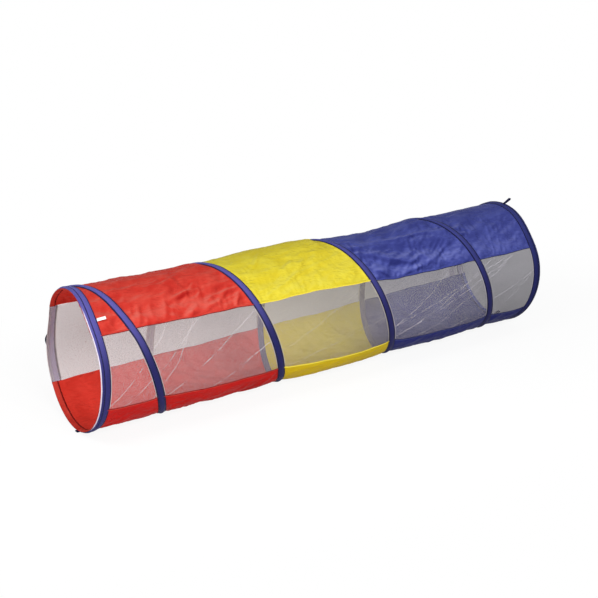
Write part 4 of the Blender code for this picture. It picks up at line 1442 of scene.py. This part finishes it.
# %% The rims' tapes
rim_angle = np.arange(0, 360 + SWEEP_STEP_DEG, SWEEP_STEP_DEG)
rims = {}
for side in ("near", "far"):
    if side == "near":
        profile = RIM_PROFILE
        wire_turned = (rim_angle - COIL_START_DEG) % 360
    else:
        profile = tuple((LENGTH - depth, height) for depth, height in RIM_PROFILE)
        wire_turned = COIL_TURNED_DEG - (COIL_TURNED_DEG + COIL_START_DEG - rim_angle) % 360
    wire_along = coil_at(wire_turned)
    sections, uv, outer, along = tape_sections(profile, rim_angle, 0.0 * rim_angle, 9.0, wire_along)
    for ring_values in (sections, outer, along):
        ring_values[-1] = ring_values[0]
    rims[side] = swept_piece(f"{side}_rim_tape_cloth", sections, uv, RIM_TAPES[side], ring=True)
    line_with_wrong_side(rims[side], sections.shape[1], RIM_BACK)
    rows = []
    for groove in RIM_GROOVES:
        where = groove if side == "near" else LENGTH - groove
        line, out = groove_line(profile, outer, rim_angle, along, where)
        rows.append(stitch_row(f"{side}_rim_row_{groove}", line, out, NAVY_THREAD))
    rims[f"{side}_stitches"] = joined(f"{side}_rim_stitches", rows)
print("rims:", ", ".join(rims))

# %% [markdown]
# Inside each mouth the cloth's raw edge is turned in and sewn down. It is a narrow band of the same cloth,
# a little crumpled, and it ends in a seam one can feel with a finger.

# %% Hems inside the mouths
MOUTH_HEM_START, MOUTH_HEM_DEPTH = 0.0004, 0.021
MOUTH_HEM_THICKNESS = 0.0012
MOUTH_HEM_CRUMPLE = 0.0034
# Its fine and its broad crumples to the metre, and how much the broad ones count
FINE_CRUMPLES, BROAD_CRUMPLES, BROAD_SHARE = 120.0, 45.0, 0.8
MOUTH_HEM_MARGIN = 0.002
hem_pieces = {}
for side, cloth, hem_thread in (("near", RED_FOLD, RED_THREAD), ("far", BLUE_FOLD, BLUE_THREAD)):
    parts, rows = [], []
    for first, last in (("back_top", "front_top"), ("front_bottom", "back_bottom")):
        mouth = 0.0 if side == "near" else LENGTH
        inwards = 1 if side == "near" else -1
        start = float(seam_angle(SEAMS_DEG[first] - 360 * (first == "back_top"), mouth))
        end = float(seam_angle(SEAMS_DEG[last], mouth))
        angle = np.linspace(start, end, int((end - start) / SWEEP_STEP_DEG * 1.5))
        depth = np.linspace(MOUTH_HEM_START, MOUTH_HEM_DEPTH, 8)
        arc = np.radians(angle) * CLOTH_RADIUS
        crumple = ripple(arc[:, None] + depth[None, :] * 0.6, FINE_CRUMPLES, 21.0 + inwards)
        broad = ripple(arc[:, None] - depth[None, :], BROAD_CRUMPLES, 31.0 + inwards)
        crumple = crumple + BROAD_SHARE * broad
        face = CLOTH_RADIUS - TAFFETA_THICKNESS - HEM_LIFT
        inner = face - MOUTH_HEM_THICKNESS - MOUTH_HEM_CRUMPLE * np.abs(crumple)
        along = np.broadcast_to(mouth + inwards * depth, inner.shape)
        over_floor = FLOOR_GAP + TAFFETA_THICKNESS
        top = on_floor(place(face, angle[:, None], along), over_floor)
        under = on_floor(place(inner, angle[:, None], along), over_floor + MOUTH_HEM_THICKNESS)
        sewn_at = MOUTH_HEM_DEPTH - MOUTH_HEM_MARGIN
        uv = cloth_map(there_and_back(depth) - sewn_at, arc[:, None])
        parts.append(swept_piece(f"{side}_{first}_hem", outline_of(top, under), uv, cloth))
        line = place(face - MOUTH_HEM_THICKNESS, angle, mouth + inwards * sewn_at)
        rows.append(stitch_row(f"{side}_{first}_row", line, -outwards_at(angle), hem_thread))
    hem_pieces[f"{side}_mouth_hem"] = joined(f"{side}_mouth_hem", parts)
    hem_pieces[f"{side}_mouth_hem_stitches"] = joined(f"{side}_mouth_hem_stitches", rows)
print("mouth hems:", ", ".join(hem_pieces))

# %% [markdown]
# The wire itself is bare spring steel inside the casing: one coil and two rings. It is swept along the same
# sprung lines as the tapes, because it is what springs them. Each ring is closed by a ferrule, a short
# steel sleeve that is pinched at both ends to grip the wire.

# %% Coil wire, rings and ferrules
WIRE_SIDES = 10
WIRE_STEP_DEG = 3.0
# A ferrule's pinches: how deep, how far from its middle to its ends, and half their length
PINCH_DEPTH, PINCH_AT, PINCH_HALF = 0.00012, 0.6, 0.1
SLEEVE_STEPS = 17


def wire_piece(name, radius, angle, along, thickness, ring=False):
    """A round wire along a line on the tunnel. thickness is its radius, at each step or everywhere."""
    turn = np.linspace(0, TURN, WIRE_SIDES, endpoint=False)[None, :]
    thick = np.broadcast_to(thickness, angle.shape)[:, None]
    sections = place(radius + thick * np.cos(turn), angle[:, None], along[:, None] + thick * np.sin(turn))
    steps = np.append(turn, TURN) * WIRE_RADIUS
    uv = cloth_map(steps[None, :], (np.radians(angle) * radius)[:, None])
    if ring:
        sections[-1] = sections[0]
    return swept_piece(name, sections, uv, STEEL, ring)


wire_turned = np.arange(0, COIL_TURNED_DEG, WIRE_STEP_DEG)
coil_wire = wire_piece(
    "coil_spring_wire", COIL_RADIUS, wire_turned + COIL_START_DEG, coil_at(wire_turned), WIRE_RADIUS
)
ring_angle = np.arange(0, 360 + WIRE_STEP_DEG, WIRE_STEP_DEG)
ring_pieces = {}
for side, middle_along in (("near", RING_DEPTH), ("far", LENGTH - RING_DEPTH)):
    node = f"{side}_ring_wire"
    ring_low, ring_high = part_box(node)
    ring_radius = (ring_high.y - ring_low.y) / 2 - WIRE_RADIUS
    along = np.full(len(ring_angle), middle_along)
    ring_pieces[node] = wire_piece(f"{node}_steel", ring_radius, ring_angle, along, WIRE_RADIUS, ring=True)
    node = f"{side}_ring_ferrule"
    low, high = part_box(node)
    middle = (low + high) / 2
    middle_deg = math.degrees(math.atan2(-middle.y, middle.z - AXIS_HEIGHT))
    half_deg = math.degrees(max(high.x - low.x, (high - low).length) / 2 / ring_radius)
    share = np.linspace(-1, 1, SLEEVE_STEPS)
    pinch = np.where(np.abs(np.abs(share) - PINCH_AT) < PINCH_HALF, PINCH_DEPTH, 0.0)
    sleeve_radius = (high.x - low.x) / 2 - pinch
    sleeve_angle = middle_deg + half_deg * share
    along = np.full(SLEEVE_STEPS, middle_along)
    ring_pieces[node] = wire_piece(f"{node}_steel", ring_radius, sleeve_angle, along, sleeve_radius)
print("steel:", ", ".join(ring_pieces), "and the coil")

# %% [markdown]
# Four short loops of dark ribbon are sewn to the rims. Ties go through them when the tunnel is folded.
# Three are hairpins: the ribbon runs out, turns and comes back. One lies along the back of the near rim
# and stands off it like a belt loop. A ribbon is a path with a flat section carried along it.

# %% Tie loops
RIBBON_WIDTH = 0.006
RIBBON_THICKNESS = 0.0013
LOOP_HALF_GAP = 0.0028
LOOP_BOW = 0.0006
LOOP_FLOOR_GAP = 0.0015
LOOP_STEPS = 30
LONG_LOOP, SHORT_LOOP = 0.035, 0.024
# Angle from the top, lean from the radius towards the far mouth, length, width, and how far it is tucked in
HAIRPINS = {
    "far_top_tie_loop": (3.0, 62.0, LONG_LOOP, 0.008, (0, 0, 0)),
    "far_bottom_tie_loop": (182.0, 112.0, LONG_LOOP, 0.009, (0, 0, 0)),
    "near_bottom_tie_loop": (172.0, -90.0, SHORT_LOOP, 0.018, (0.016, 0, -0.007)),
}
REAR_LOOP_DEG, REAR_SPREAD, REAR_RISE, REAR_LEAN = 267.0, 0.066, 0.012, 0.006


def ribbon_piece(name, path, across, thickness=RIBBON_THICKNESS, width=RIBBON_WIDTH):
    """A ribbon along a path of world points. Its width lies along the direction across."""
    up = unit(np.cross(np.gradient(path, axis=0), across))
    outline = [(-0.5, -0.25), (-0.42, -0.5), (0, -0.42), (0.42, -0.5), (0.5, -0.25)]
    outline += [(x * -1, y * -1) for x, y in outline]
    sections = np.stack([path + across * (x * width) + up * (y * thickness) for x, y in outline], 1)
    steps = np.array([x * width for x, _ in (*outline, outline[0])])
    return swept_piece(name, sections, cloth_map(steps[None, :], distance_along(path)[:, None]), RIBBON)


def hairpin_path(base, out, side, length, half_gap):
    """Out along one direction, round the tip, and back."""
    leg = length - half_gap
    runs = np.linspace(0, leg, 12)
    tip = np.linspace(-math.pi / 2, math.pi / 2, 12)[1:-1]
    flat = [(r, -half_gap * min(1, 0.4 + r / leg)) for r in runs]
    flat += [(leg + half_gap * math.cos(t), half_gap * math.sin(t)) for t in tip]
    flat += [(r, half_gap * min(1, 0.4 + r / leg)) for r in runs[::-1]]
    bow = [LOOP_BOW * math.sin(math.pi * min(x / length, 1)) for x, _ in flat]
    return np.array([base + out * x + side * (y + b) for (x, y), b in zip(flat, bow)])


def box_middle(node):
    low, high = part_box(node)
    return np.array((low + high) / 2)


def hairpin_loop(node, angle_deg, lean_deg, length, width, tuck):
    """A hairpin loop fitted to its node: it starts at the node's sewn end, moved by tuck, and leans from
    the radius towards the far mouth."""
    radial = outwards_at(np.float64(angle_deg))
    lean = math.radians(lean_deg)
    out = radial * math.cos(lean) + np.array([math.sin(lean), 0, 0])
    side = radial * -math.sin(lean) + np.array([math.cos(lean), 0, 0])
    across = np.cross(out, side)
    start = sprung(box_middle(node) - out * length / 2) + np.array(tuck)
    path = on_floor(hairpin_path(start, out, side, length, LOOP_HALF_GAP), LOOP_FLOOR_GAP)
    return ribbon_piece(f"{node}_ribbon", path, across, width=width)


loops = {node: hairpin_loop(node, *fit) for node, fit in HAIRPINS.items()}
share = np.linspace(0, 1, LOOP_STEPS)
rear_base = CROWN_RADIUS + RIBBON_THICKNESS
stands_off = np.sin(math.pi * share) ** 2
rear_angle = REAR_LOOP_DEG + np.degrees(REAR_SPREAD / rear_base) * (share - 0.5)
rear_along = box_middle("near_rear_tie_loop")[0] - MOUTH_X - REAR_LEAN * stands_off
rear_path = place(rear_base + REAR_RISE * stands_off, rear_angle, rear_along)
loops["near_rear_tie_loop"] = ribbon_piece("near_rear_tie_loop_ribbon", rear_path, np.array([1.0, 0, 0]))
print("tie loops:", len(loops))

# %% [markdown]
# The care label is a scrap of white satin, sewn in under the rim's tape. It is left bare. It lies on the
# red cloth and lifts a little at its free end, and its edges are heat-cut, so they stand up as a thin lip.

# %% Care label
LABEL_WIDTH, LABEL_LENGTH = 0.010, 0.028
LABEL_THICKNESS = 0.0006
LABEL_STAND, LABEL_LIFT, LABEL_LIP = 0.0018, 0.0055, 0.0003
label_low, label_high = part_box("care_label")
label_along = np.linspace(label_low.x, label_high.x, 24) - MOUTH_X
label_across = np.linspace(-0.5, 0.5, 9) * LABEL_WIDTH
lift = LABEL_LIFT * np.sqrt((label_along - label_along[0]) / LABEL_LENGTH)
lip = LABEL_LIP * (np.abs(label_across) / (LABEL_WIDTH / 2)) ** 4
over = CLOTH_RADIUS + LABEL_STAND + lift[:, None] + lip[None, :]
label_angle = LABEL_DEG + np.degrees(label_across / CLOTH_RADIUS)
top = place(over + LABEL_THICKNESS / 2, label_angle[None, :], label_along[:, None])
under = place(over - LABEL_THICKNESS / 2, label_angle[None, :], label_along[:, None])
uv = cloth_map(there_and_back(label_across), label_along[:, None])
label = swept_piece("care_label_satin", outline_of(top, under), uv, LABEL)
print("label", LABEL_LENGTH, "by", LABEL_WIDTH, "m, bare")

# %% [markdown]
# Now each piece is told what it moves with. On the real tunnel, when the mouths are pushed together, the
# cloth can't slide into itself, so it folds up, and the coil's tape and wire fold up into the narrow gap
# that is left between the two rims. Here each length of cloth only rides on its own body, and the coil's
# tape and wire ride on the near end.

# %% What each piece rides on
collapse = next(j for j in frame["joints"] if j["name"] == "collapse")
travel = collapse["range_m"][1]
KEEP = 1 - travel / LENGTH
for joint in frame["joints"]:
    if joint["name"] != "collapse":
        MOUTH_X + joint["range_m"][1] / (1 - KEEP)
RIM_TO_RIM = LENGTH - 2 * RIM_DEPTH
TAPE_KEEP = (RIM_TO_RIM - travel) / RIM_TO_RIM


def folds_with(piece, body, anchor_x=None):
    """The piece rides on a body, and gets its own copy of its mesh. anchor_x is not used."""
    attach(piece, body)
    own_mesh(piece)


BODIES = {"red": "near_end", "yellow": "middle_length", "blue": "far_length"}
for node, (length_name, *_) in PANELS.items():
    folds_with(cloth_pieces[node], BODIES[length_name])
    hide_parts(node)
for node, (length_name, *_) in NETS.items():
    folds_with(nets[node], BODIES[length_name])
    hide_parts(node)
for length_name, (place_name, *_) in LENGTHS.items():
    for kind in ("folds", "stitches"):
        piece = seam_pieces[f"{length_name}_seam_{kind}"]
        folds_with(piece, BODIES[length_name])
    folds_with(seam_pieces[f"{place_name}_net_hems"], BODIES[length_name])
print("keeps", round(KEEP, 4), "of the cloth when folded")

# %% What the tapes, the steel, the hems and the small pieces ride on
for piece, node, slot_name in (
    (coil_tape, "coil_casing_tape", "casing_tape"),
    (coil_stitches, None, "casing_tape"),
    (coil_binding, None, "casing_tape"),
    (coil_wire, "coil_wire", "spring_steel"),
    (label, "care_label", "label_cloth"),
):
    folds_with(piece, "near_end", MOUTH_X + RIM_DEPTH)
    if node:
        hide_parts(node)

for side, body in (("near", "near_end"), ("far", "far_end")):
    for key in (side, f"{side}_stitches"):
        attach(rims[key], body)
    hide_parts(f"{side}_rim_tape")
    for node in (f"{side}_ring_wire", f"{side}_ring_ferrule"):
        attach(ring_pieces[node], body)
        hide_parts(node)
for side, body, slot_name in (("near", "near_end", "red_taffeta"), ("far", "far_end", "blue_taffeta")):
    for key in (f"{side}_mouth_hem", f"{side}_mouth_hem_stitches"):
        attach(hem_pieces[key], body)
for node, piece in loops.items():
    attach(piece, "far_end" if node.startswith("far") else "near_end")
    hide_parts(node)
print("keeps", round(TAPE_KEEP, 4), "of the coil and its tape when folded")

# %% [markdown]
# A panel between two slanting wires is cut as a parallelogram or a trapezium, whose area is its width round
# the tunnel times its mean length. Here each sheet's grid is only looked up.

# %% Looking up each sheet's grid
for node, piece in {**cloth_pieces, **nets}.items():
    grid = cloth_grids[node]

# %% [markdown]
# The set is paper on a floor, with one soft lamp above on the left, another low in front, whose light goes
# in through the nets and shows the inside, and a plain sky. Grey paper was made white afterwards in the
# photograph, outside the tunnel only, so that the nets still show it grey. The same is done here. What the
# camera sees directly glows white, with a faint shadow left beside the tunnel, and what it sees through a
# net's holes is the paper itself, painted pinkish near the red mouth, a painted reflection of the red cloth,
# and painted darker towards the blue mouth, a painted shade.

# %% Floor
FLOOR_SIZE = 40.0
# Paper seen through the nets: painted pinkish near the red mouth as a painted reflection, and painted darker
# towards the far mouth as painted shade
WHITE_PAPER, NEAR_PAPER, FAR_PAPER = (1.0, 1.0, 1.0), (0.97, 0.90, 0.90), (0.32, 0.32, 0.33)
# Between which places along X the paper turns from near to far
PAPER_FROM, PAPER_TO = -1.0, 1.3
# How much of the lit paper shows beside the tunnel, so that its shadow is kept, and how far out that fades
SHADOW_SHARE, SHADOW_NEAR, SHADOW_FAR = 0.10, 0.40, 1.10
GLOW = {"Color": (1.0, 1.0, 1.0, 1.0), "Strength": 1.0}


def seen_directly(graph):
    """1 where the camera, a mirror or glass sees a surface with no net in between, and 0 elsewhere."""
    eye, mirror, glass, holes = (
        graph.node("ShaderNodeLightPath", None, None, kind)
        for kind in ("Is Camera Ray", "Is Glossy Ray", "Is Transmission Ray", "Transparent Depth")
    )
    return strongest([eye, mirror, glass]) * holes.math("LESS_THAN", 0.5)


half = FLOOR_SIZE / 2
corners = [(-half, -half, 0), (half, -half, 0), (half, half, 0), (-half, half, 0)]
floor_mesh = bpy.data.meshes.new("floor")
floor_mesh.from_pydata(corners, [], [(0, 1, 2, 3)])
floor = added("floor", floor_mesh)
floor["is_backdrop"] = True
paper = new_material("paper", Roughness=0.9, Specular_IOR_Level=0.1)
spot, direct = paper.position(), seen_directly(paper)
grey = paper.mix(paper.part(spot, 0).between(PAPER_FROM, PAPER_TO), NEAR_PAPER, FAR_PAPER)
paper.feed("Base Color", paper.mix(direct, grey, WHITE_PAPER))
spread = paper.vector("MULTIPLY", {0: spot, 1: (0.5, 1.0, 0.0)})
from_tunnel = paper.vector("LENGTH", {0: spread}, "Value")
shown = direct * (1 - (1 - from_tunnel.between(SHADOW_NEAR, SHADOW_FAR)) * SHADOW_SHARE)
glow = paper.node("ShaderNodeEmission", None, GLOW)
shaders = {0: shown, 1: Wire(paper, paper.shader.outputs[0]), 2: glow}
paper.show(paper.node("ShaderNodeMixShader", None, shaders), "Material Output")
floor_mesh.materials.append(paper.owner)
print("floor", FLOOR_SIZE, "m square")

# %% Sky and lamps
SKY_LIGHT = 0.35
# Place, size and watts
LAMPS = {
    "high_left_lamp": (Vector((-2.3, -0.6, 2.6)), 1.0, 36.0),
    "low_front_lamp": (Vector((-0.7, -3.0, 1.9)), 1.2, 100.0),
}
sky = Graph(bpy.data.worlds.new("plain_sky"), "Background", {**GLOW, "Strength": SKY_LIGHT})
bpy.context.scene.world = sky.owner
backdrop = sky.node("ShaderNodeBackground", None, GLOW)
shaders = {0: seen_directly(sky), 1: Wire(sky, sky.shader.outputs[0]), 2: backdrop}
sky.show(sky.node("ShaderNodeMixShader", None, shaders), "World Output")

for name, (stands_at, size, watts) in LAMPS.items():
    light = bpy.data.lights.new(name, "AREA")
    light.size, light.energy = size, watts
    added(name, light, stands_at, Vector((0, 0, AXIS_HEIGHT)) - stands_at)
bpy.context.scene.view_settings.view_transform = "Standard"
print("lamps:", ", ".join(LAMPS), "and a sky of", SKY_LIGHT)

# %% The bounds of the shown objects
low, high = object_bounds()
